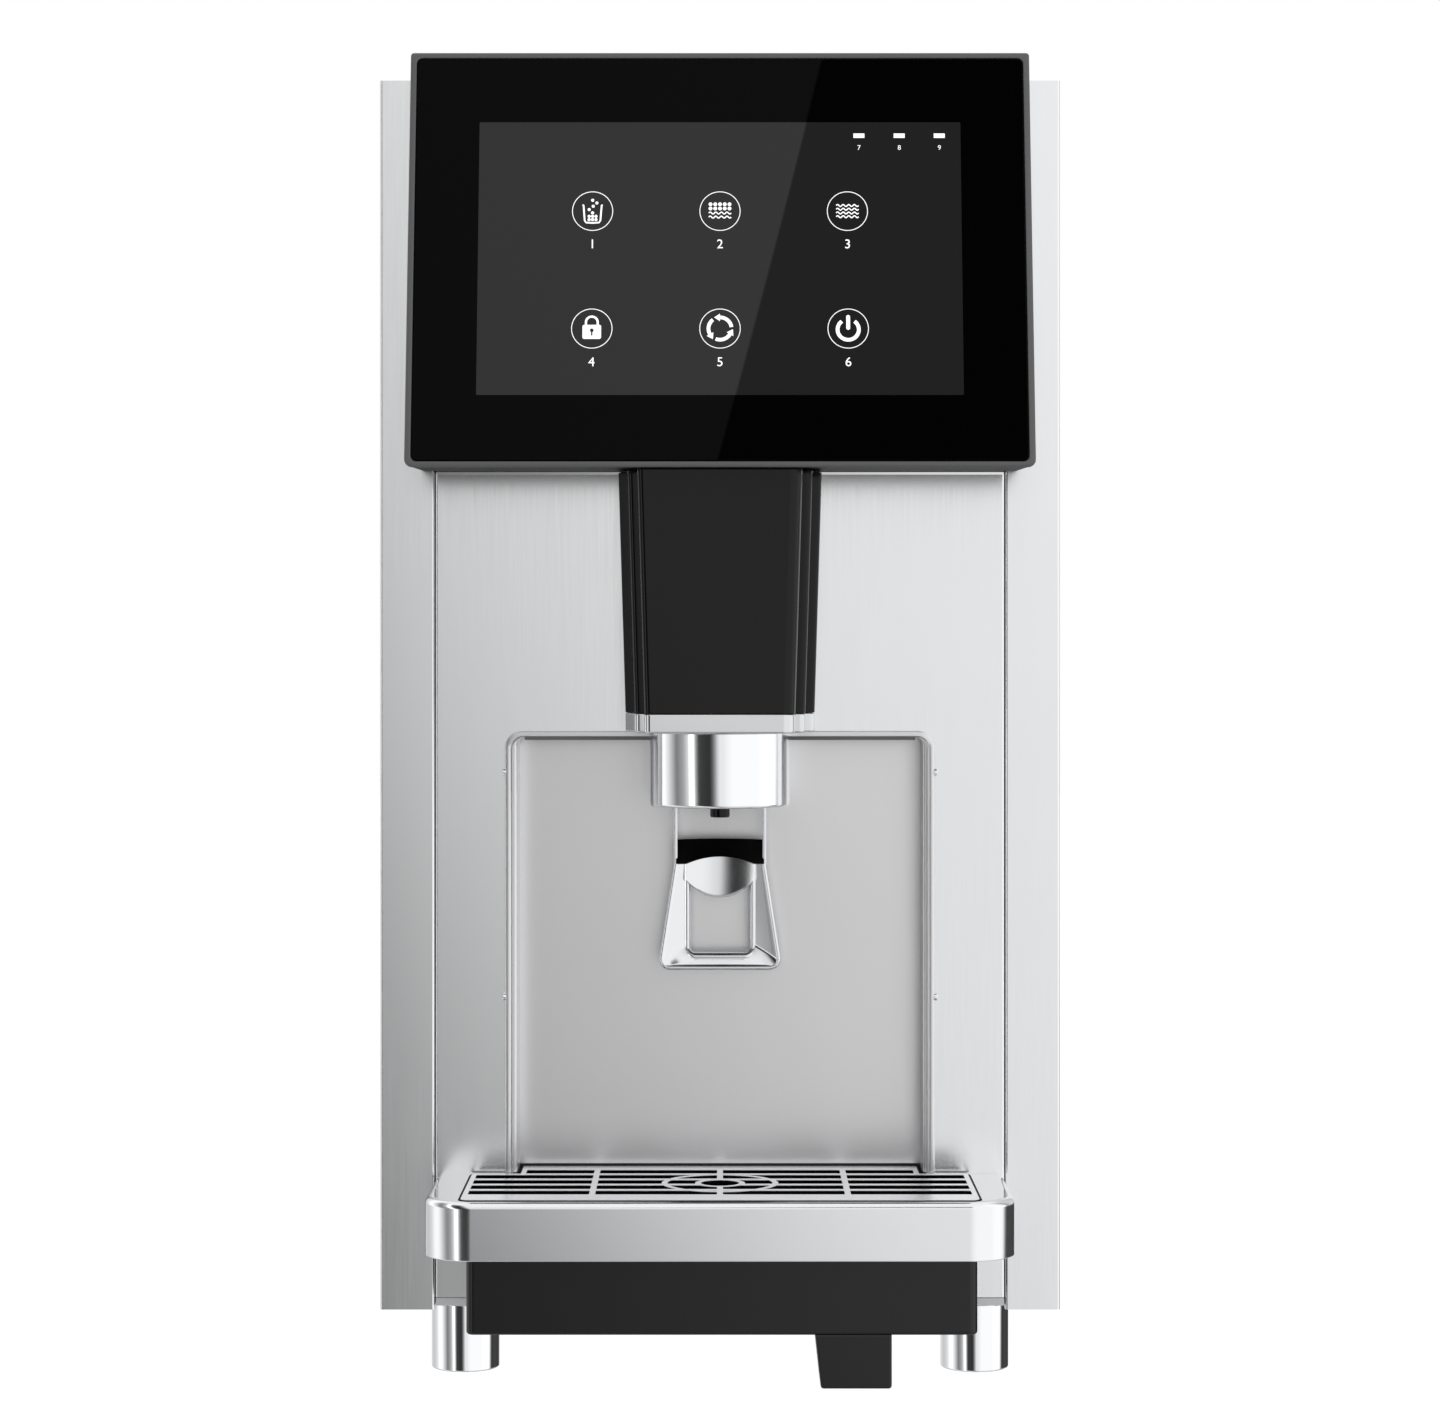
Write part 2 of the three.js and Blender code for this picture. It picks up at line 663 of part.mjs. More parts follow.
/** The grate: rows of slots between three long bars, with two target rings under the spout. */
function gratePlate() {
  const back = niche.depth - grate.tonguePlay;
  const front = -trayReach + grate.front;
  const plate = roundedOutline([
    [-grateHalf, front, grate.corner],
    [grateHalf, front, grate.corner],
    [grateHalf, -grate.back - fit, grate.corner],
    [tongueHalf, -grate.back - fit],
    [tongueHalf, back, grate.corner],
    [-tongueHalf, back, grate.corner],
    [-tongueHalf, -grate.back - fit],
    [-grateHalf, -grate.back - fit, grate.corner],
  ]);
  const bars = [-grate.barPitch, 0, grate.barPitch];
  const cells = [-grateHalf + grate.slotEnd, ...bars, grateHalf - grate.slotEnd];
  const levels = [grateBottom - overrun, trayTop + overrun];
  const slotRows = Array.from({ length: grate.rows }, (_, row) => {
    const y = grate.backRow - row * grate.spacing;
    const end = row === 0 ? tongueHalf - grate.slotEnd : grateHalf;
    return cells.slice(1).map((right, i) => {
      const x0 = Math.max(cells[i] + (i > 0 ? grate.bar / 2 : 0), -end);
      const x1 = Math.min(right - (i < bars.length ? grate.bar / 2 : 0), end);
      return block([x0, x1], around(y, grate.slot / 2), levels);
    });
  });
  const rings = [grate.ring, grate.innerRing].map((radius) =>
    rod(0, spoutAxisY, radius + grate.bar / 2, levels, wideSteps).subtract(
      rod(0, spoutAxisY, radius - grate.bar / 2, levels, wideSteps),
    ),
  );
  const eye = rod(0, spoutAxisY, grate.innerRing - grate.bar / 2, levels);
  const openings = cutAll(joinAll(slotRows.flat()), rings);
  return cutAll(alongZ(plate, [grateBottom, trayTop]), [openings, eye]);
}

function dripPan() {
  const outline = (inset) =>
    roundedRectangle(across(panHalf - inset), [panFront + inset, -fit - inset], pan.corner);
  const flangeX = panHalf + pan.flange;
  const flange = block(
    across(flangeX),
    [panFront - pan.flange, -skirt.ledge],
    [panTop - pan.flangeDepth, panTop],
  );
  const boreX = (outletLeft + outletRight) / 2;
  const drainY = panFront + outletSpout.depth / 2;
  return cutAll(joinAll([alongZ(outline(0), [pan.bottom, panTop]), flange]), [
    alongZ(outline(pan.wall), [pan.bottom + pan.wall, panTop + overrun]),
    rod(boreX, drainY, outletSpout.bore, [pan.bottom - overrun, pan.bottom + pan.wall + overrun]),
  ]);
}

function drainSpout() {
  const top = pan.bottom - fit;
  const shape = roundedOutline([
    [outletLeft + outletSpout.taper, outletSpout.bottom],
    [outletRight, outletSpout.bottom],
    [outletRight, top],
    [outletLeft, top],
  ]);
  const boreX = (outletLeft + outletRight) / 2;
  const boreY = panFront + outletSpout.depth / 2;
  const bore = rod(boreX, boreY, outletSpout.bore, [-overrun, footHeight + overrun]);
  return alongY(shape, [panFront, panFront + outletSpout.depth]).subtract(bore);
}

// Control head: a shell with a tilted front that holds the bezel, the touch glass and the display.
const head = {
  bezel: 5,
  side: 3.15,
  top: 3,
  bottom: 2.7,
  glass: 3,
  ledge: 4,
  outerCorner: 4,
  topCorner: 1.5,
  glassCorner: 3,
  wall: 2.5,
  windowWidth: 240,
  windowDown: 32.8,
  windowHeight: 141,
  display: 4,
  boardMargin: 14,
  board: 1.6,
  crown: 5,
};
const headHalf = headWidth / 2;
const tilt = THREE.MathUtils.degToRad(headTilt);

function headHousing() {
  const depth = head.bezel + fit;
  const [sin, cos] = [Math.sin(tilt), Math.cos(tilt)];
  const along = (v, w) => [-headReach + v * sin + w * cos, headBottom + v * cos - w * sin];
  const side = (inset, open) => {
    const [frontY] = along(0, depth - open);
    const [topY, topZ] = along(headLength, depth - open);
    const low = headBottom + inset;
    return roundedOutline([
      [frontY + inset * (sin / cos), low],
      [-fit + open, low + headRise],
      [-fit + open, topZ - inset, open ? 0 : head.crown],
      [topY - inset * (sin / cos), topZ - inset],
    ]);
  };
  return alongX(side(0, 0), across(headHalf)).subtract(
    alongX(side(head.wall, overrun), across(headHalf - head.wall)),
  );
}

// The bezel, the glass and the display are laid out flat: X across, Z up the glass, Y into the head.
function headBezel() {
  const outer = roundedOutline([
    [-headHalf, 0, head.outerCorner],
    [headHalf, 0, head.outerCorner],
    [headHalf, headLength, head.topCorner],
    [-headHalf, headLength, head.topCorner],
  ]);
  const opening = (inset) =>
    roundedRectangle(
      across(headHalf - head.side - inset),
      [head.bottom + inset, headLength - head.top - inset],
      head.glassCorner,
    );
  return cutAll(alongY(outer, [0, head.bezel]), [
    alongY(opening(0), [-overrun, head.glass + fit]),
    alongY(opening(head.ledge), [-overrun, head.bezel + overrun]),
  ]);
}

const touchGlass = () =>
  alongY(
    roundedRectangle(
      across(headHalf - head.side - fit),
      [head.bottom + fit, headLength - head.top - fit],
      head.glassCorner - fit,
    ),
    [0, head.glass],
  );

const windowTop = headLength - head.top - head.windowDown;
const displayX = across(head.windowWidth / 2);
const displayZ = [windowTop - head.windowHeight, windowTop];
const displayBack = head.glass + fit + head.display;
const displayPanel = () => block(displayX, [head.glass + fit, displayBack], displayZ);
const displayBoard = () =>
  block(
    across(head.windowWidth / 2 - head.boardMargin),
    [displayBack + fit, displayBack + fit + head.board],
    [displayZ[0] + head.boardMargin, displayZ[1] - head.boardMargin],
  );

// Dispensing neck: a stepped cover that narrows downwards, a chrome band, the spout and the ice chute.
const neck = {
  bottom: 341.2,
  bandBottom: 331.5,
  reach: 74,
  middleReach: 56,
  sideReach: 36,
  topHalf: 41,
  bottomHalf: 37.4,
  middleStep: 5,
  sideStep: 10.4,
  wall: 2.5,
  corner: 4,
  edge: 1.5,
  bandFloor: 2,
};
const spout = { radius: 35.15, bore: 31.2, chamfer: 1.4 };
const nozzle = { radius: 5, bottom: 288.5, supply: 3, level: 337.5, supplyEnd: 26, bore: 3 };

/** The neck's plan: a front face and two steps on each side, drawn in from the outside by inset. */
function neckPlan(frontHalf, inset = 0, rear = -fit) {
  const [front, middle, side] = [0, neck.middleStep, neck.sideStep].map((step) => frontHalf + step - inset);
  const [nearY, midY, farY] = [neck.reach, neck.middleReach, neck.sideReach].map((reach) => -reach + inset);
  return roundedOutline([
    [-side, rear],
    [-side, farY, neck.edge],
    [-middle, farY],
    [-middle, midY, neck.edge],
    [-front, midY],
    [-front, nearY, neck.corner],
    [front, nearY, neck.corner],
    [front, midY],
    [middle, midY, neck.edge],
    [middle, farY],
    [side, farY, neck.edge],
    [side, rear],
  ]);
}

function chuteCover() {
  const top = headBottom - fit;
  const levels = [neck.bottom, top];
  const put = (stack) => (p, i) => new THREE.Vector3(p.x, p.y, stack[i]);
  const outer = loft([neckPlan(neck.bottomHalf), neckPlan(neck.topHalf)], put(levels));
  const through = [neck.bottom - overrun, top + overrun];
  const inner = loft(
    [neckPlan(neck.bottomHalf, neck.wall, overrun), neckPlan(neck.topHalf, neck.wall, overrun)],
    put(through),
  );
  return outer.subtract(inner);
}

function chromeBand() {
  const body = alongZ(neckPlan(neck.bottomHalf), [neck.bandBottom, neck.bottom - fit]);
  const floor = neck.bandBottom + neck.bandFloor;
  return cutAll(body, [
    alongZ(neckPlan(neck.bottomHalf, neck.wall, overrun), [floor, neck.bottom + overrun]),
    rod(0, spoutAxisY, spout.bore - fit, [neck.bandBottom - overrun, floor + overrun]),
  ]);
}

const spoutCollar = () =>
  revolve(
    [
      [spout.bore, spoutBottom],
      [spout.radius - spout.chamfer, spoutBottom],
      [spout.radius, spoutBottom + spout.chamfer],
      [spout.radius, neck.bandBottom - fit],
      [spout.bore, neck.bandBottom - fit],
      [spout.bore, spoutBottom],
    ],
    0,
    spoutAxisY,
    wideSteps,
  );

/** The chute's side view: a vertical leg over the spout and a slope up to the bin. */
function chuteSide(inset, extra) {
  const rear = binY - binRadius + bin.wall + extra;
  const low = neck.bandBottom + neck.bandFloor + fit - extra;
  const rise = inset / Math.cos(THREE.MathUtils.degToRad(chute.slope));
  return roundedOutline([
    [chuteFront + inset, low],
    [chuteBack - inset, low],
    [chuteBack - inset, chute.backBend + rise + inset * chuteSlope],
    [rear, chute.backBend + rise + (rear - chuteBack) * chuteSlope],
    [rear, chute.frontBend - rise + (rear - chuteFront) * chuteSlope],
    [chuteFront + inset, chute.frontBend - rise + inset * chuteSlope],
  ]);
}

const gateHinge = { rise: 5, pin: 2, knuckle: 3.4, thickness: 2, play: 1, actuator: 11, actuatorLength: 34 };
const gateRoof = chute.frontBend + (chute.gateY - chuteFront) * chuteSlope;
const gateZ = gateRoof - chute.wall / Math.cos(THREE.MathUtils.degToRad(chute.slope)) - gateHinge.rise;
const gateFloor = chute.backBend + (chute.gateY - chuteBack) * chuteSlope + 2 * chute.wall;

function iceChute() {
  const outer = alongX(chuteSide(0, 0), across(chute.half));
  const inner = alongX(chuteSide(chute.wall, overrun), across(chute.half - chute.wall));
  return cutAll(outer, [
    inner,
    rod(0, binY, binRadius + fit, [0, cabinetTop], wideSteps),
    rodAlongX(chute.gateY, gateZ, gateHinge.pin + fit, across(chute.half + overrun)),
    rodAlongY(0, nozzle.level, nozzle.supply + fit, [spoutAxisY, spoutAxisY + chute.back + overrun]),
  ]);
}

function gateFlap() {
  const width = across(chute.half - chute.wall - gateHinge.play);
  const plateY = around(chute.gateY, gateHinge.thickness / 2);
  return joinAll([
    block(width, plateY, [gateFloor + gateHinge.play, gateZ]),
    rodAlongX(chute.gateY, gateZ, gateHinge.knuckle, width, roundSteps / 2),
    rodAlongX(chute.gateY, gateZ, gateHinge.pin, across(chute.half + 2 * chute.wall), roundSteps / 2),
  ]);
}

function gateActuator() {
  const start = chute.half + fit;
  const body = rodAlongX(chute.gateY, gateZ, gateHinge.actuator, [start, start + gateHinge.actuatorLength]);
  const pinEnd = chute.half + 2 * chute.wall + fit;
  return body.subtract(rodAlongX(chute.gateY, gateZ, gateHinge.pin + fit, [start - overrun, pinEnd]));
}

function waterNozzle() {
  const top = nozzle.level + nozzle.supply;
  return cutAll(
    joinAll([
      rod(0, spoutAxisY, nozzle.radius, [nozzle.bottom, top]),
      rodAlongY(0, nozzle.level, nozzle.supply, [spoutAxisY, nozzle.supplyEnd], roundSteps / 2),
    ]),
    [rod(0, spoutAxisY, nozzle.bore, [nozzle.bottom - overrun, nozzle.level])],
  );
}

// Dispensing lever: two thin rails on a cross pin, a black cross-piece, and a flared, dished frame with a
// window. The frame's face falls to the window at one angle, so the dish deepens with the flare. A hollow
// scoop drops from the shoulder of the frame into the window and guides the cup's rim.
const pivotZ = neck.bandBottom + lever.pivotRise;
const leverFront = lever.pivotY - lever.thickness / 2;
const leverBack = lever.pivotY + lever.thickness / 2;
const bracket = { play: 0.6, ear: 2, depth: 8, rise: 15, flange: 10 };
const bracketInner = lever.railHalf + bracket.play;
const pinHalf = bracketInner + bracket.ear + fit;

function dispenseLever() {
  const bottomHalf = lever.railHalf + lever.flare;
  const outline = (inset) =>
    roundedOutline([
      [-bottomHalf + inset, lever.bottom + inset, lever.corner],
      [bottomHalf - inset, lever.bottom + inset, lever.corner],
      [lever.railHalf - inset, lever.shoulder],
      [-lever.railHalf + inset, lever.shoulder],
    ]);
  const windowOutline = (grow) =>
    roundedOutline([
      [-lever.windowHalf - grow, lever.windowBottom - grow, lever.windowCorner + grow],
      [lever.windowHalf + grow, lever.windowBottom - grow, lever.windowCorner + grow],
      [lever.windowHalf + grow, lever.shoulder + grow],
      [-lever.windowHalf - grow, lever.shoulder + grow],
    ]);
  const frame = alongY(outline(0), [leverFront, leverBack]);
  const slope = Math.tan(THREE.MathUtils.degToRad(lever.dishAngle));
  const drop = (level) => (lever.shoulder - level) / (lever.shoulder - lever.bottom);
  const faceWidth = (level) =>
    lever.railHalf + lever.flare * drop(level) - lever.rim - lever.windowHalf - lever.chamfer;
  const dish = loft([outline(lever.rim), windowOutline(lever.chamfer)], (p, i) =>
    new THREE.Vector3(p.x, i ? leverFront + slope * faceWidth(p.y) : leverFront - weld, p.y),
  );
  const window = alongY(windowOutline(0), [leverFront - overrun, leverBack + overrun]);
  const rails = [-lever.railHalf, lever.railHalf - lever.rail].map((x) => {
    const strip = block(
      [x, x + lever.rail],
      around(lever.pivotY, lever.railDepth / 2),
      [lever.shoulder - lever.rim, pivotZ],
    );
    const eye = rodAlongX(lever.pivotY, pivotZ, lever.eye, [x, x + lever.rail]);
    return strip.add(eye);
  });
  const holes = rodAlongX(lever.pivotY, pivotZ, lever.pin + fit, across(lever.railHalf + overrun));
  return cutAll(joinAll([cutAll(frame, [dish, window]), leverScoop(), ...rails]), [holes]);
}

const arcShare = 4;

/** The scoop's front view: a strip whose lower and upper edges are shallow arcs. */
function scoopOutline(grow = 0) {
  const half = lever.scoopHalf + grow;
  const steps = 2 * bendSteps;
  const arc = (from, level, sag) =>
    Array.from({ length: steps + 1 }, (_, k) => {
      const share = k / steps;
      const rise = share * (1 - share) * arcShare;
      return new THREE.Vector2(THREE.MathUtils.lerp(from, -from, share), level + sag * rise);
    });
  const lower = arc(-half, lever.windowTop, lever.scoopBottom - lever.windowTop);
  const upper = arc(half, lever.shoulder + grow, lever.scoopCrown);
  return [...lower, ...upper];
}

/** The scoop: a block across the shoulder, hollowed to the front by a round wall. */
function leverScoop() {
  const axisY = leverBack - lever.scoopWall - lever.scoopRadius;
  const reach = [lever.scoopBottom - overrun, lever.padTop];
  const hollow = rod(0, axisY, lever.scoopRadius, reach, wideSteps);
  return alongY(scoopOutline(), [leverFront, leverBack]).subtract(hollow);
}

/** The black cross-piece between the rails, whose front slopes out towards the frame. */
function leverPad() {
  const low = lever.shoulder + fit;
  const side = roundedOutline([
    [leverFront, low],
    [leverBack, low],
    [leverBack, lever.padTop, lever.rim],
    [lever.pivotY, lever.padTop, lever.rim],
  ]);
  const room = alongY(scoopOutline(fit), [leverFront - overrun, leverBack + overrun]);
  return alongX(side, across(lever.railHalf - lever.rail - fit)).subtract(room);
}

const leverPin = () => rodAlongX(lever.pivotY, pivotZ, lever.pin, across(pinHalf), roundSteps / 2);

/** The bracket that holds the lever's pin: two ears and a bridge, with flanges behind the front panel. */
function leverBracket() {
  const ear = bracketInner + bracket.ear;
  const low = niche.top + niche.wall + 2 * fit;
  const high = pivotZ + bracket.rise;
  const depth = around(lever.pivotY, bracket.depth / 2);
  const flangeY = [sheet + fit, sheet + fit + bracket.ear];
  const body = block(across(ear), depth, [low, high]).subtract(
    block(across(bracketInner), around(lever.pivotY, bracket.depth), [low - overrun, high - bracket.ear]),
  );
  const flanges = [-1, 1].map((side) =>
    block([side * ear, side * (ear + bracket.flange)].sort((a, b) => a - b), flangeY, [low, high]),
  );
  const hole = rodAlongX(lever.pivotY, pivotZ, lever.pin + fit, across(ear + overrun));
  return joinAll([body, ...flanges]).subtract(hole);
}

/** A torsion spring wound round the pin, with one straight leg up to the bracket's bridge. */
class SpringCurve extends THREE.Curve {
  getPoint(share) {
    const angle = 2 * Math.PI * spring.turns * share;
    return new THREE.Vector3(
      spring.start + spring.lead * spring.turns * share,
      lever.pivotY + spring.radius * Math.cos(angle),
      pivotZ + spring.radius * Math.sin(angle),
    );
  }
}
const spring = { start: 4, turns: 5, lead: 1.8, radius: 3.7, wire: 0.6, sides: 5, steps: 8 };
const returnSpring = () =>
  sweep(new SpringCurve(), circle(0, 0, spring.wire, spring.sides), spring.turns * spring.steps);

const microswitch = { left: 14, right: 31, front: 11, depth: 10, height: 15, plunger: 1, play: 2 };

function leverSwitch() {
  const low = niche.top + niche.wall + fit;
  const body = block(
    [microswitch.left, microswitch.right],
    [microswitch.front, microswitch.front + microswitch.depth],
    [low, low + microswitch.height],
  );
  const railX = lever.railHalf - lever.rail / 2;
  const middle = low + microswitch.height / 2;
  const plungerY = [microswitch.front - microswitch.play, microswitch.front + microswitch.plunger];
  return body.add(rodAlongY(railX, middle, microswitch.plunger, plungerY, roundSteps / 2));
}

// Ice store: an insulated tub with an agitator turned from below.
const agitator = { hub: 13, arm: 4, wallGap: 10, shaft: 6, motor: 34, motorHeight: 58, paddle: 9, gap: 2 };
const agitatorTopShare = 0.619;
const agitatorReach = binRadius - bin.wall - agitator.wallGap;
const agitatorTop = THREE.MathUtils.lerp(binFloor, binTop, agitatorTopShare);
const armLevelShares = [0.08, 0.42, 0.76];
const lid = { inset: 4 };
const duct = { half: 24, wall: 2, rise: 12, drop: 7 };
const ductBottom = barrelTop + duct.rise;
const ductTop = extruderTop - duct.drop;

function iceBin() {
  const low = shelfTop + fit;
  const tub = revolve(
    [
      [bin.drain, low],
      [binRadius, low],
      [binRadius, binTop],
      [binRadius - bin.wall, binTop],
      [binRadius - bin.wall, binFloor],
      [bin.drain, binFloor],
      [bin.drain, low],
    ],
    0,
    binY,
    wideSteps,
  );
  const front = binY - binRadius;
  const back = binY + binRadius;
  return cutAll(tub, [
    block(
      across(chute.half - chute.wall),
      [front - overrun, front + 4 * bin.wall],
      [binFloor, binFloor + bin.outletRise],
    ),
    block(
      across(duct.half + fit),
      [back - 2 * bin.wall, back + overrun],
      [ductBottom - fit, binTop + overrun],
    ),
  ]);
}

const lidInsulation = () =>
  rod(0, binY, binRadius - lid.inset, [binTop + fit, cabinetTop - sheet - fit], wideSteps);

function binAgitator() {
  const low = binFloor + agitator.gap;
  const hub = rod(0, 0, agitator.hub, [low, agitatorTop]);
  const rise = agitatorTop - low;
  const arms = armLevelShares.map((share, i) => {
    const level = low + rise * share + agitator.arm;
    const bar = i % 2 === 0 ? rodAlongX(0, level, agitator.arm, across(agitatorReach), roundSteps / 2) : null;
    return bar ?? rodAlongY(0, level, agitator.arm, across(agitatorReach), roundSteps / 2);
  });
  const paddles = [-1, 1].map((side) =>
    block(
      around(side * (agitatorReach - agitator.paddle), agitator.arm / 2),
      across(agitator.paddle),
      [low, low + rise * armLevelShares[0] + agitator.arm],
    ),
  );
  const bore = rod(0, 0, agitator.shaft + fit, [low - overrun, low + agitator.motor]);
  return placed(joinAll([hub, ...arms, ...paddles]).subtract(bore), { y: binY });
}

function agitatorMotor() {
  const top = cabinet.shelfLevel - fit;
  return joinAll([
    rod(0, binY, agitator.motor, [top - agitator.motorHeight, top]),
    rod(0, binY, agitator.shaft, [top, binFloor + agitator.motor]),
  ]);
}

// Ice maker: a freezing cylinder with an auger, driven from below, an extruder head and a duct to the tub.
const auger = { core: 13, reach: 30, lead: 38, flight: 4, rise: 10 };

function augerGearMotor() {
  const low = baseFloor + fit;
  const shoulder = low + gearbox.height;
  return joinAll([
    alongZ(
      roundedRectangle(across(gearbox.half), around(barrelY, gearbox.half), gearbox.corner),
      [low, shoulder],
    ),
    rod(0, barrelY, gearbox.radius, [shoulder, barrelBottom - fit]),
  ]);
}

const freezingCylinder = () =>
  rod(0, barrelY, barrel.radius, [barrelBottom, barrelTop]).subtract(
    rod(0, barrelY, barrel.bore, [barrelBottom - overrun, barrelTop + overrun]),
  );

function iceAuger() {
  const levels = [barrelBottom, barrelTop + auger.rise];
  return placed(screw(auger.core, auger.reach, auger.lead, auger.flight, levels), { y: barrelY });
}

function extruderHead() {
  const low = barrelTop + fit;
  const shell = revolve(
    [
      [0, extruderTop - extruder.cap],
      [barrel.bore, extruderTop - extruder.cap],
      [barrel.bore, low],
      [extruder.radius, low],
      [extruder.radius, extruderTop],
      [0, extruderTop],
    ],
    0,
    barrelY,
  );
  const outlet = block(
    across(duct.half - duct.wall),
    [barrelY - extruder.radius - overrun, barrelY],
    [ductBottom + duct.wall, ductTop - duct.wall],
  );
  return shell.subtract(outlet);
}

function iceDuct() {
  const y = [binY + binRadius - bin.wall, barrelY - barrel.bore];
  const outer = block(across(duct.half), y, [ductBottom, ductTop]);
  const inner = block(
    across(duct.half - duct.wall),
    [y[0] - overrun, y[1] + overrun],
    [ductBottom + duct.wall, ductTop - duct.wall],
  );
  const seat = rod(0, barrelY, extruder.radius + fit, [ductBottom - overrun, ductTop + overrun]);
  return cutAll(outer, [inner, seat]);
}

const tank = { sideGap: 8.5, width: 90, rearGap: 10, length: 105, height: 84, wall: 2.5, corner: 8 };
const tankOuter = inside - tank.sideGap;
const tankInner = tankOuter - tank.width;
const tankBack = cabinetDepth - tank.rearGap;
const tankFront = tankBack - tank.length;

function waterReservoir() {
  const low = shelfTop + fit;
  const outline = (inset) =>
    roundedRectangle(
      [-tankOuter + inset, -tankInner - inset],
      [tankFront + inset, tankBack - inset],
      tank.corner - inset,
    );
  return alongZ(outline(0), [low, low + tank.height]).subtract(
    alongZ(outline(tank.wall), [low + tank.wall, low + tank.height + overrun]),
  );
}

const controls = { lid: 3 };
const controlsHeightShare = 0.554;

function controlBox() {
  const low = shelfTop + fit;
  const high = low + (coverBottom - shelfTop) * controlsHeightShare;
  const outline = (inset) =>
    roundedRectangle(
      [tankInner + inset, tankOuter - inset],
      [tankFront + inset, tankBack - inset],
      tank.corner / 2,
    );
  return joinAll([
    alongZ(outline(controls.lid), [low, high]),
    alongZ(outline(0), [high - tank.corner, high]),
  ]);
}

// Refrigeration: compressor, condenser with its fan, filter drier and discharge line.
const compressor = {
  sideGap: 17.5,
  radius: 62,
  height: 160,
  grommet: 9,
  grommetHeight: 12,
  plate: 3,
  plateHalf: 64,
  port: 5,
  portReach: 12,
};
const compressorProfileShares = [
  [0.84, 0],
  [1, 0.06],
  [1, 0.34],
  [1.03, 0.37],
  [1, 0.4],
  [1, 0.75],
  [0.8, 0.92],
  [0.4, 0.99],
];
const portShare = 0.68;
const compressorX = inside - compressor.sideGap - compressor.plateHalf;
const compressorY = alongBay(compressorBayShare);
const portZ = baseFloor + compressor.grommetHeight + compressor.height * portShare;

function compressorSolid() {
  const low = baseFloor + fit;
  const plateTop = low + compressor.grommetHeight + compressor.plate;
  const profile = [
    [0, plateTop],
    ...compressorProfileShares.map(([r, z]) => [r * compressor.radius, plateTop + z * compressor.height]),
    [0, plateTop + compressor.height],
  ];
  const plate = alongZ(
    roundedRectangle(
      around(compressorX, compressor.plateHalf),
      around(compressorY, compressor.plateHalf),
      compressor.grommet,
    ),
    [plateTop - compressor.plate, plateTop],
  );
  const corner = compressor.plateHalf - compressor.grommet;
  const grommets = [-corner, corner].flatMap((x) =>
    [-corner, corner].map((y) =>
      rod(compressorX + x, compressorY + y, compressor.grommet, [low, plateTop], roundSteps / 2),
    ),
  );
  const portY = compressorY - compressor.radius;
  const port = rodAlongY(compressorX, portZ, compressor.port, [portY - compressor.portReach, compressorY]);
  return joinAll([revolve(profile, compressorX, compressorY), plate, port, ...grommets]);
}

const condenserLeft = -inside + condenser.outer;
const condenserRight = condenserLeft + condenser.depth;
const condenserBottom = baseFloor + fit;
const condenserTop = condenserBottom + condenser.height;
const condenserY = around(fanY, condenser.length / 2);

function condenserCoil() {
  const pitch = (condenser.height - condenser.frame) / condenser.fins;
  const gaps = spaced(condenser.fins, pitch, fanZ).map((z) =>
    block(
      [condenserLeft - overrun, condenserRight + overrun],
      around(fanY, condenser.length / 2 - condenser.frame),
      around(z, pitch / 2 - condenser.tube / 2),
    ),
  );
  return cutAll(block([condenserLeft, condenserRight], condenserY, [condenserBottom, condenserTop]), gaps);
}

const shroudLeft = condenserRight + fit;
const shroud = { plate: 2, depth: 20, wall: 2 };
const shroudBore = fan.radius + fan.clearance;

function fanShroud() {
  const plate = block([shroudLeft, shroudLeft + shroud.plate], condenserY, [condenserBottom, condenserTop]);
  const ring = rodAlongX(fanY, fanZ, shroudBore + shroud.wall, [shroudLeft, shroudLeft + shroud.depth]);
  const bore = rodAlongX(
    fanY,
    fanZ,
    shroudBore,
    [shroudLeft - overrun, shroudLeft + shroud.depth + overrun],
  );
  return plate.add(ring).subtract(bore);
}

const fanMiddle = shroudLeft + shroud.depth / 2;
const blades = { count: 5, angle: 32, thickness: 1.6, width: 30, depth: 16, shaft: 3 };
const motor = { radius: 26, length: 44, gap: 4, leg: 6, legHalf: 16, foot: 30, footThickness: 3 };

function fanBlade() {
  const bladeSolid = (k) => {
    const sheetBlade = new THREE.BoxGeometry(blades.thickness, blades.width, fan.radius - fan.hub / 2);
    sheetBlade.translate(0, 0, (fan.radius + fan.hub / 2) / 2);
    sheetBlade.rotateZ(THREE.MathUtils.degToRad(blades.angle));
    sheetBlade.rotateX((2 * Math.PI * k) / blades.count);
    return toSolid(sheetBlade.translate(fanMiddle, fanY, fanZ));
  };
  const hub = rodAlongX(fanY, fanZ, fan.hub, around(fanMiddle, blades.depth / 2));
  const blade = Array.from({ length: blades.count }, (_, k) => bladeSolid(k));
  const tips = rodAlongX(fanY, fanZ, fan.radius, around(fanMiddle, blades.width), wideSteps);
  const bore = rodAlongX(fanY, fanZ, blades.shaft + fit, around(fanMiddle, blades.width));
  return joinAll([hub, ...blade]).intersect(tips).subtract(bore);
}

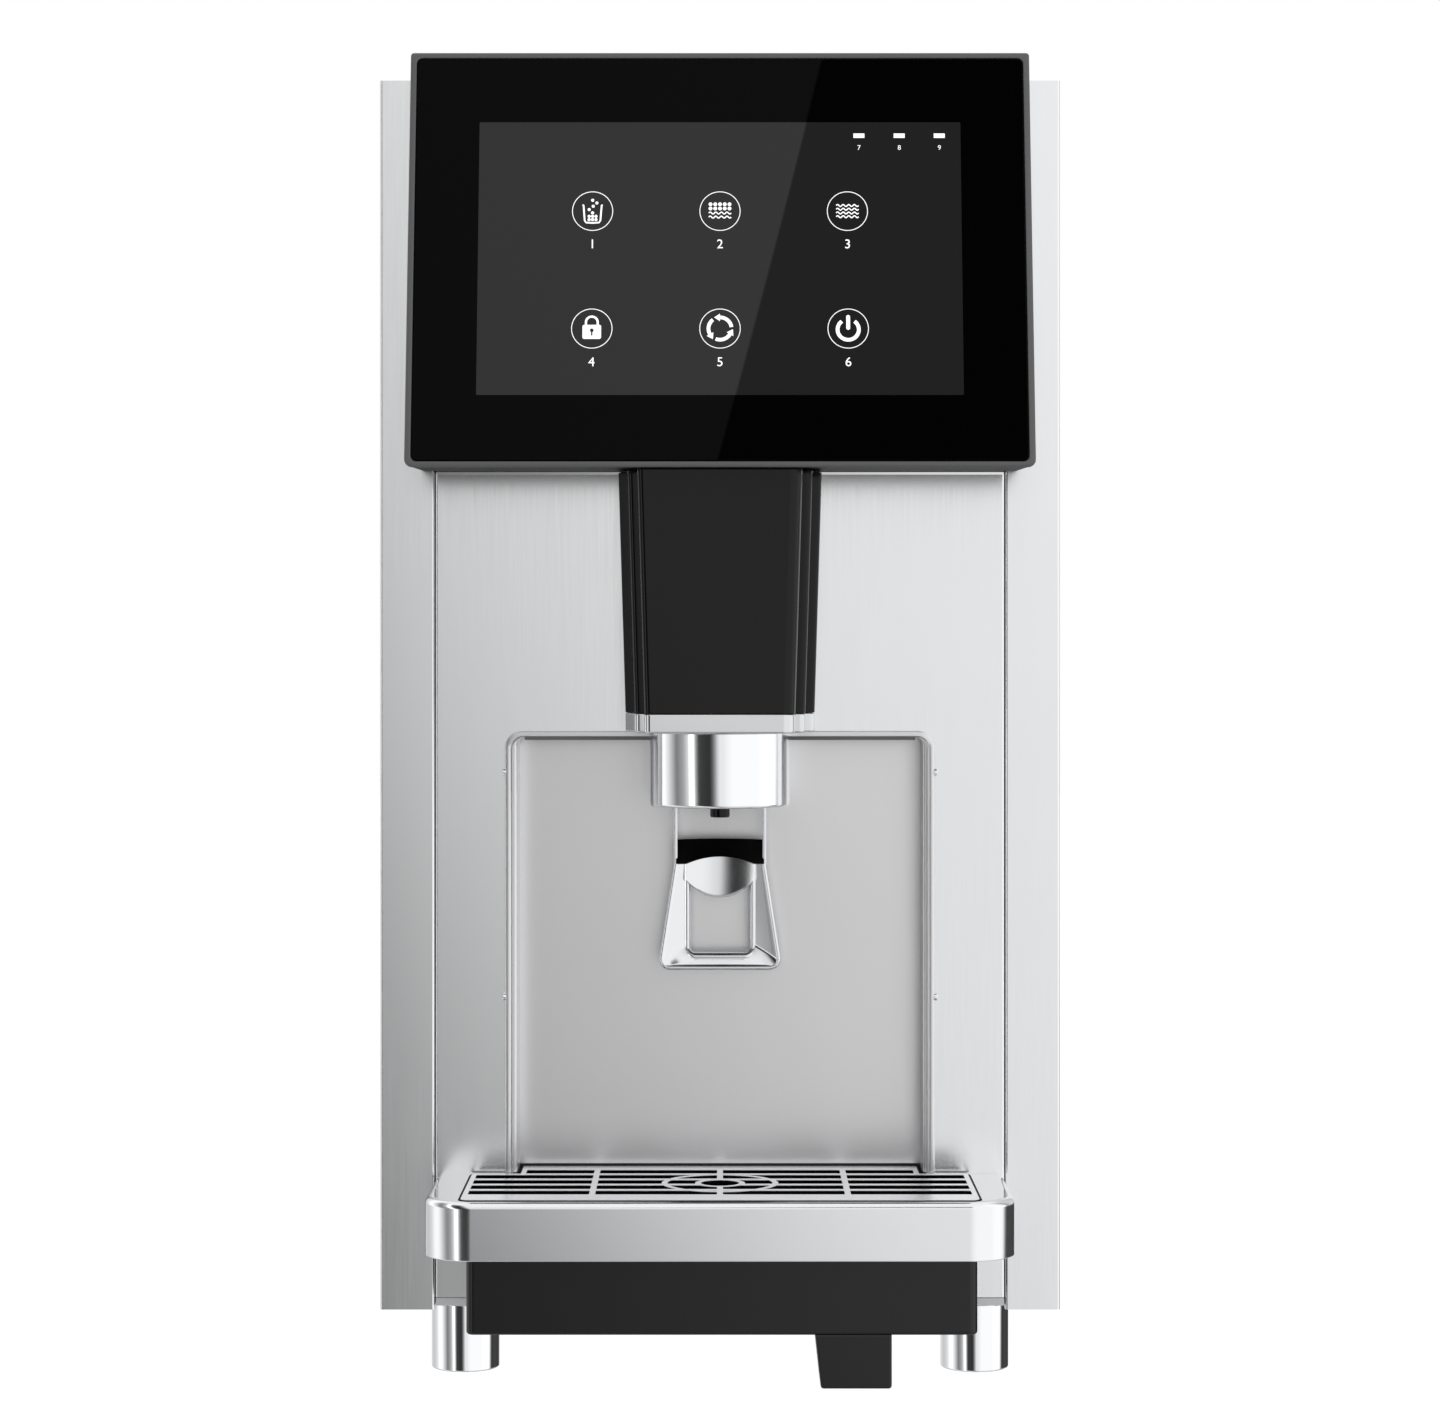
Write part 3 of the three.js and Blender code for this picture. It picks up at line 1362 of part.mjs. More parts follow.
function fanMotor() {
  const start = shroudLeft + shroud.depth + motor.gap;
  const legX = around(start + motor.length / 2, motor.leg / 2);
  return joinAll([
    rodAlongX(fanY, fanZ, motor.radius, [start, start + motor.length]),
    rodAlongX(fanY, fanZ, blades.shaft, [fanMiddle - blades.depth / 2, start + motor.gap], roundSteps / 2),
    block(legX, around(fanY, motor.legHalf), [condenserBottom, fanZ]),
    block(
      around(start + motor.length / 2, motor.foot / 2),
      around(fanY, motor.legHalf),
      [condenserBottom, condenserBottom + motor.footThickness],
    ),
  ]);
}

const drierY = alongBay(drierBayShare);
const drier = { x: -25, half: 50, radius: 12, rise: 16, saddle: 5, stub: 3, stubLength: 12 };

function filterDrier() {
  const level = condenserBottom + drier.rise;
  const saddles = [-1, 1].map((side) =>
    block(
      around(drier.x, drier.radius / 2),
      around(drierY + (side * drier.half) / 2, drier.saddle),
      [condenserBottom, level],
    ),
  );
  return joinAll([
    rodAlongY(drier.x, level, drier.radius, around(drierY, drier.half)),
    rodAlongY(drier.x, level, drier.stub, around(drierY, drier.half + drier.stubLength), roundSteps / 2),
    ...saddles,
  ]);
}

const line = { radius: 4, sides: 8, steps: 28, rise: 24, sweepIn: 44 };

/** The discharge line: out of the compressor's port, forward round the fan and down into the condenser. */
function refrigerantLine() {
  const startY = compressorY - compressor.radius - compressor.portReach - fit;
  const endX = condenserLeft + condenser.depth / 2;
  const endY = fanY - condenser.length / 4;
  const top = condenserTop + line.rise;
  const route = [
    [compressorX, startY, portZ],
    [compressorX, startY - line.rise, portZ + line.radius],
    [compressorX - line.sweepIn, startY - line.sweepIn, (portZ + top) / 2],
    [0, startY - line.sweepIn, top],
    [endX / 2, startY - line.sweepIn / 2, top],
    [endX + line.rise / 2, endY - line.rise / 2, top],
    [endX, endY, condenserTop + line.rise / 2],
    [endX, endY, condenserTop + fit],
  ].map((point) => new THREE.Vector3(...point));
  const tube = sweep(new THREE.CatmullRomCurve3(route), circle(0, 0, line.radius, line.sides), line.steps);
  const port = rodAlongY(compressorX, portZ, 2 * compressor.port, [startY, compressorY]);
  const seat = block(around(endX, line.rise), around(endY, line.rise), [condenserBottom, condenserTop + fit]);
  return cutAll(tube, [port, seat]);
}

// Services on the rear panel: water inlet with its valve, drain and mains inlet.
const fittingReach = 18;
const service = { flange: 4, bore: 3, valveHalf: 20, valveDepth: 48, coil: 13, coilHeight: 26 };
const rearFace = cabinetDepth - sheet - fit;

/** A round fitting that passes through the rear panel, with a flange on its inside. */
function rearFitting(x, z, radius) {
  const start = backInside - service.flange;
  const end = cabinetDepth + fittingReach;
  return joinAll([
    rodAlongY(x, z, radius, [start, end]),
    rodAlongY(x, z, radius + service.flange, [start, backInside]),
  ]).subtract(rodAlongY(x, z, radius - service.bore, [start - overrun, end + overrun]));
}

function inletValve() {
  const back = backInside - service.flange - fit;
  const y = [back - service.valveDepth, back];
  const top = inlet.z + service.valveHalf;
  return joinAll([
    block(around(inletX, service.valveHalf), y, around(inlet.z, service.valveHalf)),
    rod(inletX, back - service.valveDepth / 2, service.coil, [top, top + service.coilHeight]),
  ]);
}

const powerRecessShare = 0.6;

function powerInlet() {
  const [sides, levels] = [around(powerX, power.half), around(power.z, power.halfHeight)];
  const body = block(sides, [backInside - power.depth, rearFace], levels);
  const flangeHalf = power.half + service.flange;
  const flange = block(
    around(powerX, flangeHalf),
    [rearFace + fit, rearFace + fit + sheet],
    around(power.z, power.halfHeight + service.flange),
  );
  const throat = block(sides, [rearFace - sheet, rearFace + 2 * fit], levels);
  const recess = alongY(
    roundedRectangle(
      around(powerX, power.half / 2),
      around(power.z, power.halfHeight * powerRecessShare),
      bend,
    ),
    [backInside - power.recess, rearFace + overrun],
  );
  return joinAll([body, throat, flange]).subtract(recess);
}

// Assembly.
const cabinetGroup = new THREE.Group();
cabinetGroup.add(
  piece("base_pan", basePan(), galvanised),
  piece("left_side_panel", sidePanel(), brushedSteel),
  piece("right_side_panel", mirrored(sidePanel()), brushedSteel),
  piece("front_panel", frontPanel(), brushedSteel),
  piece("head_backplate", backplateSolid(), satinSteel),
  piece("rear_panel", rearPanel(), satinSteel),
  piece("equipment_shelf", shelf(), galvanised),
  piece("top_cover", topCover(), brushedSteel),
  piece("lid_insulation", lidInsulation(), foam),
  piece("splash_niche", splashNiche(), satinSteel),
);
for (const [row, y] of Object.entries(footRows)) {
  cabinetGroup.add(piece(`foot_${row}_left`, footSolid(-footX, y), polishedChrome));
  cabinetGroup.add(piece(`foot_${row}_right`, footSolid(footX, y), polishedChrome));
}

const trayGroup = new THREE.Group();
trayGroup.add(
  piece("tray_skirt", traySkirt(), polishedChrome),
  piece("drip_grate", gratePlate(), satinSteel),
  piece("drip_pan", dripPan(), blackPlastic),
  piece("drain_spout", drainSpout(), blackPlastic),
);

const headFace = new THREE.Group();
headFace.rotation.x = -tilt;
headFace.position.set(0, -headReach, headBottom);
headFace.add(
  piece("head_bezel", headBezel(), darkBezel),
  piece("touch_glass", touchGlass(), blackGlass),
  piece("display_panel", displayPanel(), blackPlastic),
  piece("display_board", displayBoard(), greenBoard),
);

const dispenserGroup = new THREE.Group();
dispenserGroup.add(
  piece("head_housing", headHousing(), darkBezel),
  headFace,
  piece("chute_cover", chuteCover(), blackPlastic),
  piece("chrome_band", chromeBand(), polishedChrome),
  piece("spout_collar", spoutCollar(), polishedChrome),
  piece("ice_chute", iceChute(), whitePlastic),
  piece("gate_flap", gateFlap(), foodPlastic),
  piece("gate_actuator", gateActuator(), blackEnamel),
  piece("water_nozzle", waterNozzle(), blackPlastic),
  piece("dispense_lever", dispenseLever(), polishedChrome),
  piece("lever_pad", leverPad(), blackPlastic),
  piece("lever_pin", leverPin(), satinSteel),
  piece("lever_bracket", leverBracket(), galvanised),
  piece("lever_return_spring", returnSpring(), satinSteel),
  piece("lever_microswitch", leverSwitch(), blackPlastic),
);

const iceGroup = new THREE.Group();
iceGroup.add(
  piece("ice_bin", iceBin(), whitePlastic),
  piece("bin_agitator", binAgitator(), foodPlastic),
  piece("agitator_motor", agitatorMotor(), blackEnamel),
  piece("auger_gear_motor", augerGearMotor(), blackEnamel),
  piece("freezing_cylinder", freezingCylinder(), foam),
  piece("ice_auger", iceAuger(), satinSteel),
  piece("extruder_head", extruderHead(), satinSteel),
  piece("ice_duct", iceDuct(), whitePlastic),
  piece("water_reservoir", waterReservoir(), whitePlastic),
  piece("control_box", controlBox(), galvanised),
);

const coolingGroup = new THREE.Group();
coolingGroup.add(
  piece("compressor", compressorSolid(), blackEnamel),
  piece("condenser", condenserCoil(), aluminium),
  piece("fan_shroud", fanShroud(), galvanised),
  piece("fan_blade", fanBlade(), blackPlastic),
  piece("fan_motor", fanMotor(), blackEnamel),
  piece("filter_drier", filterDrier(), copper),
  piece("refrigerant_line", refrigerantLine(), copper),
  piece("water_inlet_fitting", rearFitting(inletX, inlet.z, inlet.radius), satinSteel),
  piece("water_inlet_valve", inletValve(), whitePlastic),
  piece("drain_fitting", rearFitting(drainX, drain.z, drain.radius), blackPlastic),
  piece("power_inlet", powerInlet(), blackPlastic),
);

const dispenser = new THREE.Group();
dispenser.add(cabinetGroup, trayGroup, dispenserGroup, iceGroup, coolingGroup);
dispenser.position.y = (trayReach - cabinetDepth - fittingReach) / 2;
export default dispenser;
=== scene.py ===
"""Looks of a countertop ice and water dispenser: its fine meshes, finishes, camera, light and floor.

Sizes are millimetres in the cabinet's own frame: x to the right, y to the back from the front panel's face,
z up from the floor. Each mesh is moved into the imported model's frame, in metres, when it is made.
"""

from __future__ import annotations

import logging
import math
from dataclasses import dataclass, field
from enum import Enum
from functools import lru_cache, partial, reduce
from typing import Any, Callable, Sequence

import bmesh
import bpy
import numpy as np
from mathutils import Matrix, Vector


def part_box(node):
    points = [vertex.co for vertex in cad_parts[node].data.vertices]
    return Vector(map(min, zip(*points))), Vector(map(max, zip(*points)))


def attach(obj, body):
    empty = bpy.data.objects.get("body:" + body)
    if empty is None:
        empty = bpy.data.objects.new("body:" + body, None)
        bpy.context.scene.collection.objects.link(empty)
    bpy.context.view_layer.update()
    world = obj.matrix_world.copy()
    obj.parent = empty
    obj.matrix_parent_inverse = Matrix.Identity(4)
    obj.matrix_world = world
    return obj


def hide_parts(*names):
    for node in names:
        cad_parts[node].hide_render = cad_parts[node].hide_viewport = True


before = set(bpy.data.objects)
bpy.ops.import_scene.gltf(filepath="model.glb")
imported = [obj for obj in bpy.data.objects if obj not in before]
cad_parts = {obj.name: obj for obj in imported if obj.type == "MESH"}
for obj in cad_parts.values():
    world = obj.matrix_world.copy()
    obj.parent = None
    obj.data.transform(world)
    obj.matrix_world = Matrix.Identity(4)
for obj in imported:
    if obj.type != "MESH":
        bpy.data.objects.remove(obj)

Array = np.ndarray
Pair = tuple[float, float]
Corner = tuple[float, float, float]
Lay = Callable[[Array, float], Array]
Piece = bpy.types.Object
Socket = bpy.types.NodeSocket

LOG = logging.getLogger("dispenser")
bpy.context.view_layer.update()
MM = 0.001
PANEL_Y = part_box("front_panel")[0][1]
OVERRUN = 5.0


# Outlines and how they lie in space.

def rounded(corners: Sequence[Corner], inset: float = 0.0, steps: int = 6) -> Array:
    """A polygon's loop with round corners, its edges moved inwards by an inset.

    Each corner moves along the sum of its two edges' inward normals, divided by one plus their dot product.
    Its arc starts the radius times the tangent of half the turn before it, and turns about a centre that lies
    one radius to the inside. A corner whose radius is zero stays one point.

    Args:
        corners: x, y and radius of each corner, anticlockwise.
        inset: how far each edge moves inwards, negative for outwards.
        steps: straight pieces in each arc.

    Returns:
        Points of the loop, one row each.
    """
    given = np.asarray(corners, float)
    at, radius = given[:, :2], given[:, 2]
    into = at - np.roll(at, 1, 0)
    into /= np.linalg.norm(into, axis=1, keepdims=True)
    out = np.roll(into, -1, 0)
    left_in = np.stack([-into[:, 1], into[:, 0]], 1)
    left_out = np.stack([-out[:, 1], out[:, 0]], 1)
    dot = (into * out).sum(1, keepdims=True)
    turn = np.arctan2(into[:, 0] * out[:, 1] - into[:, 1] * out[:, 0], dot[:, 0])
    moved = at + inset * (left_in + left_out) / (1 + dot)
    way = np.sign(turn)
    bow = np.where(radius > 0, np.maximum(radius - inset * way, 0.02), 0.0)
    start = moved - into * (bow * np.tan(np.abs(turn) / 2))[:, None]
    centre = start + left_in * (bow * way)[:, None]
    angle = turn[:, None] * np.linspace(0, 1, steps + 1)
    arm = (start - centre)[:, None, :]
    cos, sin = np.cos(angle), np.sin(angle)
    swung = np.stack([arm[..., 0] * cos - arm[..., 1] * sin, arm[..., 0] * sin + arm[..., 1] * cos], -1)
    keep = np.ones((len(given), steps + 1), bool)
    keep[radius <= 0, 1:] = False
    return (centre[:, None, :] + swung)[keep]


def box_corners(x: Pair, y: Pair, radius: float) -> list[Corner]:
    """Corners of a rectangle between two limits on each axis, all with one radius."""
    return [(x[0], y[0], radius), (x[1], y[0], radius), (x[1], y[1], radius), (x[0], y[1], radius)]


def both(half: float) -> Pair:
    """Limits at one distance on each side of the middle."""
    return -half, half


def pane(low: Corner, high: Corner) -> list[Corner]:
    """A four-sided outline, the same on both sides, from its right corners at the foot and at the head."""
    return [(-low[0], *low[1:]), low, high, (-high[0], *high[1:])]


def arc(x: float, y: float, radius: float, start: float, end: float, steps: int = 40) -> Array:
    """Points of an arc between two angles in degrees."""
    angle = np.radians(np.linspace(start, end, steps + 1))
    return np.stack([x + radius * np.cos(angle), y + radius * np.sin(angle)], 1)


def circle(x: float, y: float, radius: float, sides: int = 96) -> Array:
    """A circle's loop: centre plus radius times the cosine and sine of equal angles."""
    return arc(x, y, radius, 0.0, 360.0, sides)[:-1]


def folded(path: Sequence[Pair], thickness: float, radius: float) -> Array:
    """The outline of bent sheet: the path is its outer face, and the inner one lies a thickness to the left.

    Args:
        path: corners of the outer face.
        thickness: sheet thickness.
        radius: radius of each bend on its outside.

    Returns:
        The closed outline's points.
    """
    at = np.asarray(path, float)
    way = np.diff(at, axis=0)
    way /= np.linalg.norm(way, axis=1, keepdims=True)
    into, out = np.vstack([way[:1], way]), np.vstack([way, way[-1:]])
    normal = np.stack([-(into + out)[:, 1], (into + out)[:, 0]], 1)
    far = at + thickness * normal / (1 + (into * out).sum(1))[:, None]
    turn = into[:, 0] * out[:, 1] - into[:, 1] * out[:, 0]
    bends = [np.where(turn == 0, 0.0, np.where(turn > 0, left, right))
             for left, right in ((radius, radius - thickness), (radius - thickness, radius))]
    return rounded(np.vstack([np.column_stack([at, bends[0]]), np.column_stack([far, bends[1]])[::-1]]))


def plan(points: Array, level: float) -> Array:
    """Lays an outline flat: (x, y) at a height."""
    return np.column_stack([points, np.full(len(points), level)])


def front(points: Array, depth: float) -> Array:
    """Stands an outline up facing the front: (x, z) at a depth."""
    return np.column_stack([points[:, 0], np.full(len(points), depth), points[:, 1]])


def side(points: Array, x: float) -> Array:
    """Stands an outline up facing sideways: (y, z) at an x."""
    return np.column_stack([np.full(len(points), x), points])


def placed(points: Array) -> Array:
    """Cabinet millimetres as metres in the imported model's frame."""
    return points * MM + (0.0, PANEL_Y, 0.0)


def edge_profile(low: float, high: float, at_low: float, at_high: float, steps: int = 4) -> Array:
    """Insets and levels of a wall between two levels with a quarter circle at each end.

    The inset is r(1 − sin a) and the level is r(1 − cos a) in from the end, for a from 0 to 90 degrees.

    Args:
        low: first level.
        high: last level.
        at_low: radius at the first level, zero for a sharp edge.
        at_high: radius at the last level.
        steps: straight pieces in each quarter circle.

    Returns:
        Rows of inset and level.
    """
    sign = 1.0 if high > low else -1.0
    angle = np.linspace(0, np.pi / 2, steps + 1)

    def end(radius: float, level: float, inwards: float) -> Array:
        """Rows of one end, in the order of the whole profile.

        Args:
            radius: the end's radius.
            level: its level.
            inwards: the sign of the way from the end to the middle.

        Returns:
            Rows of inset and level.
        """
        if radius <= 0:
            return np.array([[0.0, level]])
        rows = np.column_stack([radius * (1 - np.sin(angle)), level + inwards * radius * (1 - np.cos(angle))])
        return rows if inwards * sign > 0 else rows[::-1]

    return np.vstack([end(at_low, low, sign), end(at_high, high, -sign)])


class Shell:
    """The faces of one piece while it is put together."""

    def __init__(self) -> None:
        """Starts without faces."""
        self.points: list[Array] = []
        self.faces: list[list[int]] = []
        self.count = 0

    def rings(self, rings: Array | Sequence[Array], closed: bool = False) -> Shell:
        """Skins matched closed loops that follow each other.

        Point j of ring i joins points j and j + 1 of rings i and i + 1 in one face.

        Args:
            rings: loops of equally many points.
            closed: whether the last ring joins the first; otherwise the two ends are capped.

        Returns:
            This shell.
        """
        stack = np.asarray(rings, float)
        count, around = stack.shape[:2]
        grid = self.count + np.arange(count * around).reshape(count, around)
        low = grid if closed else grid[:-1]
        high = np.roll(grid, -1, 0) if closed else grid[1:]
        quads = np.stack([low, np.roll(low, -1, 1), np.roll(high, -1, 1), high], -1)
        self.faces += quads.reshape(-1, 4).tolist()
        if not closed:
            self.faces += [grid[0][::-1].tolist(), grid[-1].tolist()]
        self.points.append(stack.reshape(-1, 3))
        self.count += count * around
        return self

    def stack(self, corners: Sequence[Corner], profile: Sequence[Pair], lay: Lay, steps: int = 6) -> Shell:
        """Skins an outline carried through a profile of insets and levels."""
        return self.rings([lay(rounded(corners, inset, steps), level) for inset, level in profile])

    def prism(self, outline: Array, lay: Lay, low: float, high: float) -> Shell:
        """Skins an outline between two levels."""
        return self.rings([lay(outline, low), lay(outline, high)])

    def block(self, x: Pair, y: Pair, z: Pair) -> Shell:
        """Adds a block between two limits on each axis."""
        return self.prism(rounded(box_corners(x, y, 0.0)), plan, z[0], z[1])

    def turned(self, profile: Array, x: float, y: float, sides: int = 96, closed: bool = False) -> Shell:
        """Turns a profile of radius and height about the upright axis through (x, y)."""
        return self.rings([plan(circle(x, y, radius, sides), z) for radius, z in profile], closed)

    def solid(self, name: str) -> Piece:
        """Makes an object of the shell, with its faces pointing out, and links it to the scene.

        Args:
            name: the piece's name.

        Returns:
            The object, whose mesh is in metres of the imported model's frame.
        """
        mesh = bpy.data.meshes.new(name)
        mesh.from_pydata(placed(np.vstack(self.points)).tolist(), [], self.faces)
        work = bmesh.new()
        work.from_mesh(mesh)
        bmesh.ops.remove_doubles(work, verts=work.verts, dist=1e-6)
        bmesh.ops.recalc_face_normals(work, faces=work.faces)
        work.to_mesh(mesh)
        work.free()
        return linked(name, mesh)


def linked(name: str, data: bpy.types.ID) -> Piece:
    """Makes an object and links it to the scene.

    Args:
        name: its name.
        data: its mesh, curve, camera or lamp.

    Returns:
        The object.
    """
    made = bpy.data.objects.new(name, data)
    bpy.context.scene.collection.objects.link(made)
    return made


def carve(body: Piece, *cutters: Shell | Piece) -> Piece:
    """Takes the cutters' volumes out of a body and removes them.

    Args:
        body: the piece that loses them.
        cutters: closed shells or pieces, each cut by itself.

    Returns:
        The body.
    """
    tools = [cutter.solid("cutter") if isinstance(cutter, Shell) else cutter for cutter in cutters]
    for tool in tools:
        cut = body.modifiers.new("cut", "BOOLEAN")
        cut.operation, cut.solver, cut.object = "DIFFERENCE", "EXACT", tool
    made = bpy.data.meshes.new_from_object(body.evaluated_get(bpy.context.evaluated_depsgraph_get()))
    body.modifiers.clear()
    body.data = made
    for tool in tools:
        bpy.data.objects.remove(tool)
    return body


# Finishes.

class Graph:
    """A node tree while it is put together."""

    def __init__(self, owner: bpy.types.Material | bpy.types.World, empty: bool = False) -> None:
        """Opens a tree.

        Args:
            owner: the material or world that it belongs to.
            empty: whether its nodes are taken out first.
        """
        owner.use_nodes = True
        self.nodes, self.links = owner.node_tree.nodes, owner.node_tree.links
        if empty:
            self.nodes.clear()

    def feed(self, node: bpy.types.Node, values: dict[str | int, Any]) -> None:
        """Sets or links a node's inputs.

        Args:
            node: the node.
            values: a number, colour or socket for each input, by name or place.
        """
        for key, value in values.items():
            if isinstance(value, Socket):
                self.links.new(value, node.inputs[key])
            else:
                node.inputs[key].default_value = value

    def add(self, kind: str, values: dict[str | int, Any] | None = None, **settings: Any) -> bpy.types.Node:
        """Adds a node.

        Args:
            kind: its type, without the word ShaderNode.
            values: what its inputs take.
            settings: its own settings, by name.

        Returns:
            The node.
        """
        node = self.nodes.new("ShaderNode" + kind)
        for key, value in settings.items():
            setattr(node, key, value)
        self.feed(node, values or {})
        return node

    def math(self, operation: str, *values: float | Socket) -> Socket:
        """The result of one arithmetic node."""
        return self.add("Math", dict(enumerate(values)), operation=operation).outputs[0]


class Grain(Enum):
    """How a surface's fine texture runs: its stretch along x, y and z."""

    EVEN = (1.0, 1.0, 1.0)
    UPRIGHT = (1.0, 1.0, 0.02)
    ACROSS = (0.02, 1.0, 1.0)


def linear(colour: tuple[int, int, int], gain: float = 1.0) -> tuple[float, float, float, float]:
    """A display colour as linear light: ((c + 0.055) / 1.055) to the power 2.4, times a gain."""
    parts = (np.asarray(colour) / 255 + 0.055) / 1.055
    return (*np.clip(parts ** 2.4 * gain, 0, 1).tolist(), 1.0)


@dataclass(frozen=True)
class Finish:
    """A surface finish: a base shader with grain, mottling and relief from noise on object coordinates."""

    name: str
    colour: tuple[int, int, int]
    roughness: float
    metal: float = 0.0
    grain: Grain = Grain.EVEN
    grain_mm: float = 0.8
    relief_mm: float = 0.0
    mottle: float = 0.03
    patch_mm: float = 60.0
    swing: float = 0.04
    specular: float = 0.5
    glow: float = 0.0

    @lru_cache(maxsize=None)
    def material(self) -> bpy.types.Material:
        """The finish's material, made once.

        Grain noise moves the roughness and the relief, and a slow noise moves the colour between a little
        darker and a little lighter than the finish's own.

        Returns:
            The material.
        """
        made = bpy.data.materials.new(self.name)
        graph = Graph(made)
        place = graph.add("TexCoord").outputs["Object"]
        scale = tuple(part / (self.grain_mm * MM) for part in self.grain.value)
        stretch = graph.add("Mapping", {"Vector": place, "Scale": scale}).outputs[0]
        fine = graph.add("TexNoise", {"Vector": stretch, "Scale": 1.0, "Detail": 3.0}).outputs["Fac"]
        patches = {"Vector": place, "Scale": 1 / (self.patch_mm * MM), "Detail": 2.0}
        dark, light = linear(self.colour, 1 - self.mottle), linear(self.colour, 1 + self.mottle)
        share = graph.add("TexNoise", patches).outputs["Fac"]
        tint = graph.add("Mix", {0: share, 6: dark, 7: light}, data_type="RGBA")
        rough = graph.add("MapRange", {"Value": fine, "To Min": max(self.roughness - self.swing, 0.0),
                                       "To Max": self.roughness + self.swing})
        values = {"Metallic": self.metal, "Specular IOR Level": self.specular, "Base Color": tint.outputs[2],
                  "Roughness": rough.outputs[0]}
        if self.relief_mm:
            values["Normal"] = graph.add("Bump", {"Distance": self.relief_mm * MM, "Height": fine}).outputs[0]
        # A glow is painted brightness: emission in the finish's own colour.
        if self.glow:
            values |= {"Emission Color": linear(self.colour), "Emission Strength": self.glow}
        graph.feed(graph.nodes["Principled BSDF"], values)
        return made


# Each in the order of the fields: name, colour, roughness, metal, grain, grain size, relief, mottle,
# patch size, swing, specular and glow.
PANEL_STEEL = Finish("panel_steel", (240, 241, 242), 0.2, 1.0, Grain.UPRIGHT, 0.9, 0.0, 0.015, 90.0, 0.05)
LINER_STEEL = Finish("liner_steel", (230, 230, 231), 0.3, 0.98, Grain.UPRIGHT, 0.9, 0.0, 0.02, 70.0, 0.03)
# A darker, rougher copy of the panel steel, painted shade: the side panels' sideways faces take it, and the lid
# wears it too.
SHADED_STEEL = Finish("shaded_steel", (204, 205, 207), 0.32, 0.98, Grain.UPRIGHT, 0.9, 0.0, 0.02, 90.0, 0.05)
GRATE_STEEL = Finish("grate_steel", (250, 250, 254), 0.2, 0.5, Grain.ACROSS, 0.7, 0.0, 0.02, 50.0, 0.05)
CHROME = Finish("polished_chrome", (243, 244, 246), 0.055, 1.0, Grain.EVEN, 6.0, 0.0, 0.01, 40.0, 0.015)
LEVER_CHROME = Finish("lever_chrome", (230, 231, 233), 0.16, 1.0, Grain.EVEN, 6.0, 0.0, 0.01, 40.0, 0.02)
SPOUT_CHROME = Finish("spout_chrome", (243, 244, 246), 0.09, 1.0, Grain.EVEN, 6.0, 0.0, 0.01, 40.0, 0.015)
SKIRT_CHROME = Finish("skirt_chrome", (238, 239, 241), 0.14, 1.0, Grain.EVEN, 6.0, 0.0, 0.01, 40.0, 0.015)
BAND_CHROME = Finish("band_chrome", (216, 217, 219), 0.09, 1.0, Grain.EVEN, 6.0, 0.0, 0.01, 40.0, 0.015)
BASE_STEEL = Finish("base_steel", (214, 215, 216), 0.4, 0.5, Grain.ACROSS, 0.9, 0.0, 0.02, 60.0, 0.05)
BEZEL = Finish("bezel_paint", (88, 88, 89), 0.42, 0.25, Grain.EVEN, 0.5, 0.01, 0.03, 60.0, 0.04)
HOUSING = Finish("housing_plastic", (26, 26, 27), 0.5, 0.0, Grain.EVEN, 0.5, 0.02, 0.05, 60.0, 0.05, 0.12)
GLASS = Finish("black_glass", (0, 0, 0), 0.0, 0.0, Grain.EVEN, 8.0, 0.0, 0.0, 80.0, 0.0, 0.048)
SCREEN = Finish("screen_window", (33, 33, 33), 0.0, 0.0, Grain.EVEN, 8.0, 0.0, 0.0, 80.0, 0.0, 0.27)
# White print that also glows at half strength: painted brightness.
SYMBOL = Finish("symbol_white_glow", (236, 237, 238), 0.5, 0.0, Grain.EVEN, 0.6, 0.0, 0.01, 20.0, 0.03, 0.2, 0.5)
NECK = Finish("neck_plastic", (8, 8, 8), 0.1, 0.0, Grain.EVEN, 0.6, 0.0, 0.05, 50.0, 0.03, 0.25)
BLACK_PLASTIC = Finish("black_plastic", (10, 10, 10), 0.24, 0.0, Grain.EVEN, 0.6, 0.0, 0.06, 40.0, 0.04, 0.45)
CARRIER = Finish("carrier_plastic", (2, 2, 2), 0.5, 0.0, Grain.EVEN, 0.6, 0.0, 0.06, 40.0, 0.04, 0.05)
PAD_PLASTIC = Finish("pad_plastic", (2, 2, 2), 0.4, 0.0, Grain.EVEN, 0.6, 0.0, 0.06, 40.0, 0.04, 0.1)
RUBBER = Finish("foot_rubber", (22, 22, 22), 0.7, 0.0, Grain.EVEN, 0.5, 0.05, 0.06, 20.0, 0.05)
# A grey strip of painted shade: it stands for the shadow that the niche's rim casts on the back wall under the
# roof.
ROOF_SHADE = Finish("painted_roof_shade", (112, 112, 112), 0.6, 0.0, Grain.EVEN, 0.5, 0.0, 0.04, 20.0, 0.05, 0.2)
WHITE_PLASTIC = Finish("white_plastic", (226, 228, 227), 0.42, 0.0, Grain.EVEN, 0.7, 0.02, 0.02, 60.0, 0.05)
FOOD_PLASTIC = Finish("food_plastic", (205, 218, 224), 0.35, 0.0, Grain.EVEN, 0.7, 0.02, 0.03, 60.0, 0.05)
FOAM = Finish("black_foam", (40, 40, 42), 0.88, 0.0, Grain.EVEN, 1.6, 0.25, 0.12, 30.0, 0.05)
COPPER = Finish("copper_tube", (196, 124, 84), 0.3, 1.0, Grain.EVEN, 2.0, 0.0, 0.08, 18.0, 0.08)
ALUMINIUM = Finish("fin_aluminium", (196, 198, 200), 0.38, 1.0, Grain.UPRIGHT, 0.8, 0.02, 0.04, 40.0, 0.06)
